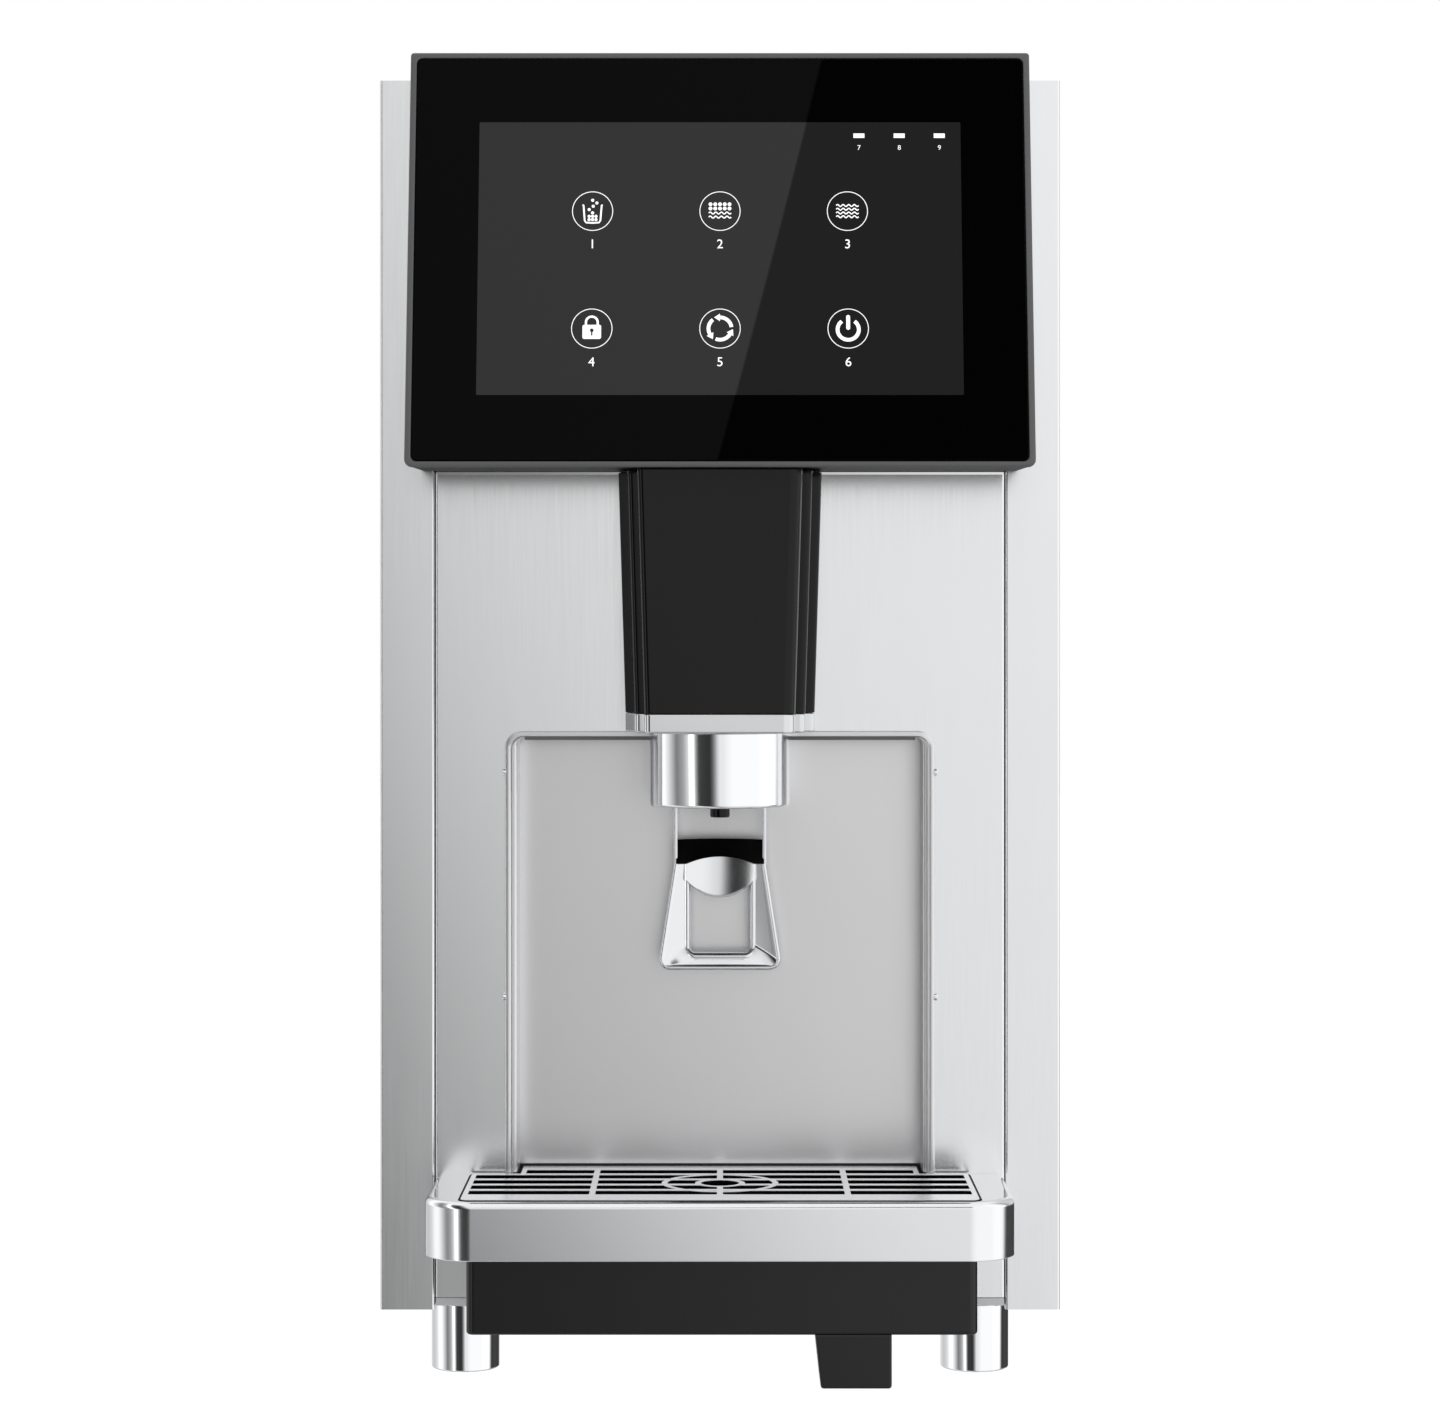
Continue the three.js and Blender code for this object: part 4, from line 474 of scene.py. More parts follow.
BOARD = Finish("circuit_green", (30, 84, 54), 0.5, 0.0, Grain.EVEN, 2.5, 0.05, 0.15, 6.0, 0.1)
ENAMEL = Finish("black_enamel", (20, 20, 22), 0.3, 0.1, Grain.EVEN, 1.2, 0.03, 0.05, 40.0, 0.06)
ZINC = Finish("zinc_coated", (176, 180, 183), 0.42, 0.85, Grain.EVEN, 9.0, 0.0, 0.08, 14.0, 0.12)
SPRING_STEEL = Finish("spring_steel", (170, 172, 175), 0.35, 1.0, Grain.EVEN, 1.0, 0.01, 0.05, 20.0, 0.06)

CAD_FINISHES: dict[Finish, tuple[str, ...]] = {
    PANEL_STEEL: ("head_backplate", "rear_panel"),
    ZINC: ("equipment_shelf", "lever_bracket", "control_box", "fan_shroud"),
    BASE_STEEL: ("base_pan",),
    FOAM: ("lid_insulation", "freezing_cylinder"),
    BLACK_PLASTIC: ("display_panel", "lever_microswitch", "fan_blade", "drain_fitting", "power_inlet"),
    BOARD: ("display_board",),
    WHITE_PLASTIC: ("ice_chute", "ice_bin", "ice_duct", "water_reservoir", "water_inlet_valve"),
    FOOD_PLASTIC: ("gate_flap", "bin_agitator"),
    ENAMEL: ("gate_actuator", "agitator_motor", "auger_gear_motor", "compressor", "fan_motor"),
    SPRING_STEEL: ("lever_pin", "lever_return_spring", "ice_auger", "extruder_head", "water_inlet_fitting"),
    ALUMINIUM: ("condenser",),
    COPPER: ("filter_drier", "refrigerant_line"),
}


def dress(made: Piece, finish: Finish, slot: str, body: str = "cabinet", replaces: Sequence[str] = (),
          bevel: float = 0.0, crease: float = 32.0) -> Piece:
    """Gives a piece its finish, soft edges, smooth shading and its place on a body.

    Args:
        made: the piece.
        finish: its finish.
        slot: the record's material slot, not used.
        body: the body that carries it.
        replaces: the solids that it stands for.
        bevel: width of the softened edges in millimetres, zero for none.
        crease: edges that turn by more degrees than this stay sharp.

    Returns:
        The piece.
    """
    mesh = made.data
    mesh.materials.clear()
    mesh.materials.append(finish.material())
    mesh.polygons.foreach_set("use_smooth", np.ones(len(mesh.polygons), bool))
    mesh.set_sharp_from_angle(angle=math.radians(crease))
    if bevel:
        soften = made.modifiers.new("soften", "BEVEL")
        soften.width, soften.segments = bevel * MM, 2
        soften.limit_method, soften.angle_limit = "ANGLE", math.radians(crease)
        soften.use_clamp_overlap = True
    made.modifiers.new("weigh", "WEIGHTED_NORMAL").keep_sharp = True
    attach(made, body)
    if replaces:
        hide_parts(*replaces)
    LOG.info("%s: %d faces on %s", made.name, len(mesh.polygons), body)
    return made


# The camera, the light and the floor.

@dataclass
class Studio:
    """The camera of the photograph, a white studio and a pale floor."""

    eye_height: float = 372.5
    eye_distance: float = 1801.0
    lens: float = 87.5
    sensor: float = 36.0
    far: float = 60.0
    shift: float = -63.4 / 1440
    daylight: float = 0.72
    floor_size: float = 14.0
    floor_white: float = 1.22
    floor_share: float = 0.8
    floor_matt: float = 0.92
    lamp_aim: Corner = (0.0, -0.1, 0.3)
    lamps: tuple[tuple[str, Corner, float, float], ...] = (
        ("key", (1.5, -2.2, 2.4), 1.8, 26.0), ("fill", (-2.2, -1.4, 1.6), 2.0, 9.0))
    low_from: float = -2.0
    low_span: float = 12.0
    low_gain: float = 0.044
    dark_start: Pair = (220.0, 238.0)
    dark_end: Pair = (400.0, 360.0)
    dark_below: Pair = (-3.0, -7.0)
    dark_loss: float = -0.92
    ground_fade: Pair = (-12.0, -24.0)
    ground_loss: float = -0.7
    ground_grey: float = 0.42
    roof_fade: Pair = (38.0, 62.0)
    flag_foot: float = 24.45
    flag_lean: float = -0.303
    flag_left: Pair = (-0.03, 0.03)
    flag_right: Pair = (14.0, 10.0)
    flag_bottom: Pair = (20.8, 22.8)
    flag_top: Pair = (35.0, 33.0)
    flag_loss: float = -0.95
    span: float = 450.0
    cards: tuple[Pair, ...] = (
        (-374, 0.75), (-330, 0.6), (-280, 0.75), (-258, 0.95), (-246, 1.15), (-214, 1.15), (-190, 0.76),
        (-156, 0.2), (-128, 0.4), (-108, 0.8), (-103, 2.2), (-94, 2.2), (-87, 0.5), (-74, 0.05), (-34, 0.03),
        (-25, 0.14), (-18, 0.33), (-9, 0.7), (-2, 0.91), (8, 0.88), (20, 0.98), (40, 1.08), (130, 1.08),
        (146, 1.15), (206, 1.15), (226, 0.3), (250, 0.62), (276, 0.74), (330, 0.6), (370, 0.75),
    )

    def camera(self) -> None:
        """Level camera in front of the middle of the machine."""
        data = bpy.data.cameras.new("camera")
        data.lens, data.sensor_width, data.shift_y, data.clip_end = self.lens, self.sensor, self.shift, self.far
        made = linked("camera", data)
        made.location = placed(np.array([0.0, -self.eye_distance, self.eye_height]))
        made.rotation_euler = (math.pi / 2, 0.0, 0.0)
        bpy.context.scene.camera = made

    def world(self) -> None:
        """A white room: plain light on matt surfaces, and cards and flags that polished ones reflect.

        Reflections read the cards, a ramp of s = 2·azimuth + elevation in degrees, with azimuth 0 towards the
        camera. Below the horizon they stand a little closer together, a dark card stands far to the right, and
        they fade to grey. A dark flag stands in the upper front, which the sloping glass reflects. Its left
        edge leans from azimuth 0 at elevation 24 to azimuth 2 at elevation 31.
        """
        world = bpy.data.worlds.new("studio")
        bpy.context.scene.world = world
        graph = Graph(world, empty=True)
        plus, minus, blend = (partial(graph.math, kind) for kind in ("ADD", "SUBTRACT", "MULTIPLY_ADD"))

        def times(*values: float | Socket) -> Socket:
            """The product of several values."""
            return reduce(partial(graph.math, "MULTIPLY"), values)

        def ease(value: Socket, start: float, end: float) -> Socket:
            """A smooth step: zero at the start, one at the end, whichever is the greater."""
            return graph.add("MapRange", {"Value": value, "From Min": start, "From Max": end},
                             interpolation_type="SMOOTHSTEP").outputs[0]

        degrees = 180 / math.pi
        x, y, z = graph.add("SeparateXYZ", {0: graph.add("TexCoord").outputs["Generated"]}).outputs
        azimuth = times(graph.math("ARCTAN2", x, times(y, -1.0)), degrees)
        elevation = times(graph.math("ARCSINE", z), degrees)
        drop = graph.math("MINIMUM", graph.math("MAXIMUM", minus(self.low_from, elevation), 0.0), self.low_span)
        key = blend(azimuth, blend(drop, self.low_gain, 2.0), elevation)
        ramp = graph.add("ValToRGB", {0: graph.math("DIVIDE", plus(key, self.span), 2 * self.span)})
        table, peak = ramp.color_ramp, max(level for _, level in self.cards)
        while len(table.elements) < len(self.cards):
            table.elements.new(0.5)
        for element, (stop, level) in zip(table.elements, self.cards):
            element.position = (stop + self.span) / (2 * self.span)
            element.color = (level / peak, level / peak, level / peak, 1.0)
        dark = times(ease(key, *self.dark_start), ease(key, *self.dark_end), ease(elevation, *self.dark_below))
        around = times(ramp.outputs[0], peak, blend(dark, self.dark_loss, 1.0))
        ground = ease(elevation, *self.ground_fade)
        around = plus(times(around, blend(ground, self.ground_loss, 1.0)), times(ground, self.ground_grey))
        sides = blend(minus(1.0, around), ease(elevation, *self.roof_fade), around)
        slant = plus(azimuth, times(minus(elevation, self.flag_foot), self.flag_lean))
        flag = times(ease(slant, *self.flag_left), ease(azimuth, *self.flag_right),
                     ease(elevation, *self.flag_bottom), ease(elevation, *self.flag_top))
        path = graph.add("LightPath").outputs
        glossy = path["Is Glossy Ray"]
        mirrored = times(glossy, sides, blend(flag, self.flag_loss, 1.0))
        level = plus(mirrored, times(minus(1.0, glossy), self.daylight))
        seen = graph.math("MAXIMUM", path["Is Camera Ray"], path["Is Transmission Ray"])
        level = plus(times(level, minus(1.0, seen)), seen)
        backdrop = graph.add("Background", {"Color": (1.0, 1.0, 1.0, 1.0), "Strength": level})
        graph.add("OutputWorld", {0: backdrop.outputs[0]})

    def lamp(self, name: str, at: Corner, size: float, power: float) -> None:
        """A large soft lamp that faces the middle of the machine.

        Args:
            name: its name.
            at: its place in metres.
            size: its width in metres.
            power: its power in watts.
        """
        data = bpy.data.lights.new(name, "AREA")
        data.size, data.energy = size, power
        made = linked(name, data)
        made.location = at
        aim = np.subtract(self.lamp_aim, at)
        tip, turn = math.acos(-aim[2] / np.linalg.norm(aim)), math.atan2(aim[1], aim[0]) - math.pi / 2
        made.rotation_euler = (tip, 0.0, turn)
        made.visible_glossy = False

    def floor(self) -> None:
        """A pale floor that stays white to the camera, is hidden from reflections, and keeps the object's
        shadow.
        """
        half = self.floor_size / 2
        mesh = bpy.data.meshes.new("floor")
        corners = box_corners(both(half), both(half), 0.0)
        mesh.from_pydata(corners, [], [(0, 1, 2, 3)])
        made = linked("floor", mesh)
        made.visible_glossy = False
        material = bpy.data.materials.new("floor")
        graph = Graph(material, empty=True)
        matt = graph.add("BsdfDiffuse", {"Color": (self.floor_matt,) * 3 + (1.0,)})
        white = graph.add("Emission", {"Color": (1.0, 1.0, 1.0, 1.0), "Strength": self.floor_white})
        share = graph.math("MULTIPLY", graph.add("LightPath").outputs["Is Camera Ray"], self.floor_share)
        mix = graph.add("MixShader", {0: share, 1: matt.outputs[0], 2: white.outputs[0]})
        graph.add("OutputMaterial", {0: mix.outputs[0]})
        mesh.materials.append(material)

    def build(self) -> None:
        """Camera first, then light and floor."""
        self.camera()
        self.world()
        for lamp in self.lamps:
            self.lamp(*lamp)
        self.floor()
        bpy.context.scene.view_settings.view_transform = "Standard"


# The cabinet.

@dataclass
class Cabinet:
    """Panels, cover, splash niche and feet."""

    half: float = 175.0
    depth: float = 450.0
    top: float = 665.8
    side_bottom: float = 33.4
    wing: float = 28.2
    panel_half: float = 146.5
    panel_bottom: float = 39.6
    panel_top: float = 464.4
    sheet: float = 1.2
    bend: float = 1.3
    lip: float = 6.0
    panel_lip: float = 12.0
    rear_return: float = 14.0
    cover_bottom: float = 649.8
    cover_inset: float = 1.5
    cover_round: float = 2.4
    cover_edge: float = 1.6
    bead: tuple[Pair, ...] = ((-0.6, -0.1), (-0.4, -1.3), (0.9, -1.3), (0.9, -0.1))
    bead_inset: float = 0.5
    slit_half: float = 30.4
    slit_top: float = 444.0
    slit_round: float = 4.0
    rail: float = 9.0
    rail_ends: Pair = (40.0, 410.0)
    shelf_level: float = 396.0
    louvre_middle: float = 121.0
    louvre_pitch: float = 17.0
    louvre_count: int = 8
    louvre_half: float = 2.5
    louvre_round: float = 2.4
    louvre_ends: Pair = (145.0, 275.0)
    fit: float = 0.3
    niche_half: float = 104.3
    niche_top: float = 328.2
    niche_floor: float = 98.6
    niche_depth: float = 24.0
    niche_wall: float = 1.5
    niche_rim: float = 6.2
    niche_round: float = 4.0
    niche_spread: float = 0.75
    ledge_half: float = 103.0
    ledge: float = 6.0
    notch: tuple[Pair, Pair, Pair] = ((-25.6, 25.6), (-8.0, 15.0), (323.2, 336.0))
    # A black rubber strip at the foot of the back wall, behind the grate: painted shade for the dark gap there.
    seal_levels: Pair = (99.0, 105.2)
    seal_depth: float = 0.9
    seal_fit: float = 0.1
    joint_ends: Pair = (26.0, 3.8)
    joint_depths: Pair = (0.3, 1.6)
    joint_height: float = 1.7
    screw_radius: float = 1.9
    screw_y: float = -1.5
    screw_levels: Pair = (309.9, 194.5)
    tray_top: float = 104.1
    foot_radius: float = 17.65
    foot_height: float = 35.2
    foot_x: float = 132.3
    foot_rows: Pair = (20.0, 418.0)
    foot_gap: float = 0.5
    foot_low_round: float = 0.9
    foot_high_round: float = 0.6
    stud_radius: float = 5.0
    stud_top: float = 49.2
    pad_inset: float = 3.5
    pad_height: float = 0.7

    def side_panel(self, name: str, sign: float) -> None:
        """A side panel folded round to the front and the back, with louvres beside the condenser.

        Args:
            name: the piece's name.
            sign: one for the left panel, minus one for its mirror image.
        """
        left = -self.half
        path = [(left + self.rear_return, self.depth), (left, self.depth), (left, 0.0), (left + self.wing, 0.0),
                (left + self.wing, self.lip)]
        outline = folded(path, self.sheet, self.bend) * (sign, 1.0)
        shell = Shell().prism(outline, plan, self.side_bottom, self.top)

        def across(near: float, far: float) -> list[float]:
            """Limits along x between two distances from the panel's outer face."""
            return sorted((sign * (left + near), sign * (left + far)))

        for level in (self.cover_bottom - self.fit - self.sheet, self.shelf_level - self.fit - self.sheet):
            shell.block(across(self.sheet, self.sheet + self.rail), self.rail_ends, (level, level + self.sheet))
        cutter = Shell()
        for step in np.arange(self.louvre_count) - (self.louvre_count - 1) / 2:
            level = self.louvre_middle + self.louvre_pitch * step
            upright = (level - self.louvre_half, level + self.louvre_half)
            slot = rounded(box_corners(self.louvre_ends, upright, self.louvre_round))
            cutter.rings([side(slot, x) for x in across(OVERRUN, -OVERRUN)])
        cutter.block(across(2 * self.sheet, self.wing + OVERRUN), (self.sheet, self.lip + OVERRUN),
                     (self.cover_bottom - self.fit, self.top + OVERRUN))
        made = carve(shell.solid(name), cutter)
        solid = name.replace("panel_shell", "side_panel")
        dress(made, PANEL_STEEL, "brushed_steel", replaces=[solid], bevel=0.35)
        # Faces that look straight sideways take the darker copy of the steel: painted shade.
        made.data.materials.append(SHADED_STEEL.material())
        facing = np.empty(3 * len(made.data.polygons))
        made.data.polygons.foreach_get("normal", facing)
        made.data.polygons.foreach_set("material_index", (np.abs(facing[::3]) > 0.9).astype(int))

    def front_panel(self) -> None:
        """The front panel with its folded edges, open for the niche and the dispenser, and its top bead."""
        half, top = self.panel_half, self.panel_top
        path = [(-half, self.panel_lip), (-half, 0.0), (half, 0.0), (half, self.panel_lip)]
        shell = Shell().prism(folded(path, self.sheet, self.bend), plan, self.panel_bottom, top)
        gap = self.niche_wall + self.fit
        window = box_corners(both(self.niche_half + gap), (self.niche_floor - gap, self.niche_top + gap),
                             self.niche_round + self.niche_wall)
        slit = box_corners(both(self.slit_half), (self.niche_top, self.slit_top), self.slit_round)
        holes = [Shell().prism(rounded(hole), front, -OVERRUN, self.panel_lip + OVERRUN)
                 for hole in (window, slit)]
        made = carve(shell.solid("front_panel_shell"), *holes)
        dress(made, PANEL_STEEL, "brushed_steel", replaces=["front_panel"], bevel=0.4)
        bead = Shell().prism(np.add(self.bead, (0.0, top)), side, *both(half - self.bead_inset))
        dress(bead.solid("front_panel_bead"), CHROME, "brushed_steel")

    def cover(self) -> None:
        """The lift-off lid: a pressed pan with its edge turned down."""
        inset = self.cover_inset
        corners = box_corners(both(self.half - inset), (inset, self.depth - inset), self.cover_round)
        outside = edge_profile(self.cover_bottom, self.top, 0.0, self.cover_edge)
        inside = np.array([[self.sheet, self.top - self.sheet], [self.sheet, self.cover_bottom]])
        made = Shell().stack(corners, np.vstack([inside, outside]), plan).solid("cover_shell")
        dress(made, SHADED_STEEL, "brushed_steel", "cover", ["top_cover"])

    def niche(self) -> None:
        """The pressed liner: its section is carried up one side, over the roof and down the other.

        The section runs from the back wall forwards to an inner lip, through a groove, round the raised outer
        rim and back along the outside of the wall.
        """
        low, high = self.niche_floor - self.niche_wall, self.niche_top
        half, back = self.niche_half, self.niche_depth
        section = np.array([
            (0.0, back), (0.0, -1.2), (0.25, -1.9), (0.8, -2.2), (1.5, -2.2), (1.9, -1.7), (2.2, -1.5),
            (2.6, -1.7), (3.0, -2.6), (3.5, -3.0), (5.2, -3.0), (5.9, -2.7), (self.niche_rim, -2.0),
            (self.niche_rim, -0.3), (self.niche_wall, -0.3), (self.niche_wall, back + self.niche_wall),
        ])
        top_rise = np.interp(section[:, 0], [0.0, 2.6, 3.0, 3.5, 5.2, 6.2], [0.0, 0.15, 0.25, 0.5, 2.6, 2.95])

        def station(out: float, depth: float, rise: float) -> Array:
            """The open path of one point of the section: up, round a corner, across, round and down.

            Args:
                out: how far the point lies outside the niche's wall.
                depth: its y.
                rise: how far it lies over the niche's roof.

            Returns:
                The path's points.
            """
            bend, wide = self.niche_round + out * self.niche_spread, half + out
            loop = rounded(pane((wide, -high, 0.0), (wide, high + rise, bend)), steps=8)
            loop[loop[:, 1] < 0.0, 1] = low if depth > -self.fit else self.tray_top + self.fit
            return front(np.roll(loop, -1, 0), depth)

        shell = Shell().rings(np.swapaxes([station(*row, rise) for row, rise in zip(section, top_rise)], 0, 1))
        wall = rounded(pane((half, low, 0.0), (half, high, self.niche_round)), steps=8)
        shell.prism(wall, front, back, back + self.niche_wall)
        shell.block(both(half), (0.0, back), (low, self.niche_floor))
        shell.block(both(self.ledge_half), (-self.ledge, 0.0), (low, self.niche_floor))
        made = carve(shell.solid("niche_shell"), Shell().block(*self.notch))
        dress(made, LINER_STEEL, "satin_steel", replaces=["splash_niche"], crease=40.0)
        # A black strip behind the grate's tongue: painted shade for the dark gap between the grate and the back
        # wall.
        gap_shade = Shell().block(both(half - self.seal_fit), (back - self.seal_depth, back), self.seal_levels)
        dress(gap_shade.solid("niche_gap_shade"), RUBBER, "black_plastic")
        # Grey strips under the roof's front edge: painted shade for the rim's shadow on the back wall.
        roof_shade = Shell()
        inner, outer = self.joint_ends[0], half - self.joint_ends[1]
        for ends in ((-outer, -inner), (inner, outer)):
            roof_shade.block(ends, self.joint_depths, (high - self.joint_height, high))
        dress(roof_shade.solid("niche_roof_shade"), ROOF_SHADE, "black_plastic")
        profile, face = edge_profile(-1.3, 0.6, 0.5, 0.0), half + self.niche_rim
        for index, (sign, level) in enumerate((s, z) for s in (-1, 1) for z in self.screw_levels):
            head = Shell().rings([
                side(circle(self.screw_y, level, self.screw_radius - inset, 24), sign * (face - depth))
                for inset, depth in profile])
            dress(head.solid(f"niche_screw_{index + 1}"), CHROME, "satin_steel")

    def feet(self) -> None:
        """Four round chrome feet, each with a rubber pad under it."""
        post = edge_profile(self.foot_gap, self.foot_height, self.foot_low_round, self.foot_high_round, 5)
        post = post * (-1, 1) + (self.foot_radius, 0.0)
        pad = edge_profile(0.0, self.pad_height, 0.3, 0.0) * (-1, 1) + (self.foot_radius - self.pad_inset, 0.0)
        stud = [(self.stud_radius, self.foot_height - 0.2), (self.stud_radius, self.stud_top)]
        for row, y in zip(("front", "rear"), self.foot_rows):
            for place, x in (("left", -self.foot_x), ("right", self.foot_x)):
                name, made = f"foot_{row}_{place}", Shell().turned(post, x, y).turned(stud, x, y, 32)
                dress(made.solid(name + "_shell"), CHROME, "chrome", replaces=[name])
                dress(Shell().turned(pad, x, y).solid(name + "_pad"), RUBBER, "black_plastic")

    def build(self) -> None:
        """Builds every piece of the cabinet."""
        self.side_panel("left_panel_shell", 1.0)
        self.side_panel("right_panel_shell", -1.0)
        self.front_panel()
        self.cover()
        self.niche()
        self.feet()


@dataclass
class Services:
    """Small pieces of the back: screws, the inlet's nut and thread, the drain's barbs and the mains pins."""

    back: float = 450.0
    screw_line: float = 168.0
    screw_levels: tuple[float, ...] = (62.0, 200.0, 340.0, 480.0, 622.0)
    screw_radius: float = 3.6
    inlet: Pair = (-110.0, 90.0)
    inlet_radius: float = 13.0
    nut_radius: float = 18.6
    nut_ends: Pair = (448.6, 453.6)
    nut_bore_ends: Pair = (440.0, 460.0)
    thread_ends: Pair = (454.6, 467.0)
    thread_pitch: float = 0.8
    drain: Pair = (-62.0, 70.0)
    drain_radius: float = 8.0
    drain_levels: tuple[float, ...] = (455.0, 459.4, 459.6, 463.0, 463.2, 466.6)
    mains: Pair = (110.0, 90.0)
    mains_screw: float = 25.8
    mains_screw_radius: float = 1.7
    pins: tuple[Pair, ...] = ((-6.5, -2.0), (0.0, 2.2), (6.5, -2.0))
    pin_half: Pair = (1.0, 2.0)
    pin_ends: Pair = (430.0, 445.5)

    def screw(self, name: str, x: float, z: float, radius: float) -> None:
        """A domed head with a cross: its radius falls from the foot to the crown, and two bars are cut.

        Args:
            name: the piece's name.
            x: its place across.
            z: its height.
            radius: the head's radius.
        """
        crown = 0.42 * radius
        profile = ((radius, -0.2), (radius, 0.3 * crown), (0.86 * radius, 0.75 * crown), (0.5 * radius, crown))
        head = Shell().rings([front(circle(x, z, r, 28), self.back + out) for r, out in profile])
        long, thin, floor = 0.55 * radius, 0.12 * radius, self.back + 0.4 * crown
        bars = [Shell().block((x - a, x + a), (floor, self.back + OVERRUN), (z - b, z + b))
                for a, b in ((long, thin), (thin, long))]
        dress(carve(head.solid(name), *bars), SPRING_STEEL, "satin_steel")

    def ridges(self, at: Pair, radius: float, levels: Sequence[float]) -> Shell:
        """A ridged sleeve on a pipe: the radius swings between root and crest, then returns inside the wall.

        Args:
            at: x and z of the pipe's axis.
            radius: the pipe's radius.
            levels: y of each root and crest in turn.

        Returns:
            The sleeve's faces.
        """
        crest = radius + np.where(np.arange(len(levels)) % 2, 0.75, 0.1)
        outside = [front(circle(*at, r, 64), y) for r, y in zip(crest, levels)]
        inside = [front(circle(*at, radius - 0.6, 64), y) for y in (levels[-1], levels[0])]
        return Shell().rings(outside + inside, closed=True)

    def nut(self) -> None:
        """A six-sided nut, soft at its rims, that clamps the inlet to the back."""
        corners = np.column_stack([arc(*self.inlet, self.nut_radius, 30.0, 330.0, 5), np.full(6, 1.2)])
        bore = Shell().prism(circle(*self.inlet, self.inlet_radius + 0.1, 64), front, *self.nut_bore_ends)
        made = Shell().stack(corners, edge_profile(*self.nut_ends, 0.7, 0.9), front).solid("inlet_nut")
        dress(carve(made, bore), SPRING_STEEL, "satin_steel")

    def build(self) -> None:
        """Builds every small piece of the back."""
        for place, sign in enumerate((-1, 1), 1):
            for row, level in enumerate(self.screw_levels, 1):
                self.screw(f"back_screw_{place}_{row}", sign * self.screw_line, level, self.screw_radius)
            self.screw(f"mains_screw_{place}", self.mains[0] + sign * self.mains_screw, self.mains[1],
                       self.mains_screw_radius)
        self.nut()
        thread = self.ridges(self.inlet, self.inlet_radius, np.arange(*self.thread_ends, self.thread_pitch))
        dress(thread.solid("inlet_thread"), SPRING_STEEL, "satin_steel")
        barbs = self.ridges(self.drain, self.drain_radius, self.drain_levels)
        dress(barbs.solid("drain_barbs"), BLACK_PLASTIC, "black_plastic")
        pins = Shell()
        wide, tall = self.pin_half
        for x, z in np.add(self.pins, self.mains):
            pin = box_corners((x - wide, x + wide), (z - tall, z + tall), 0.4)
            pins.stack(pin, edge_profile(*self.pin_ends, 0.0, 0.6), front)
        dress(pins.solid("mains_pins"), SPRING_STEEL, "satin_steel")


# The control head.

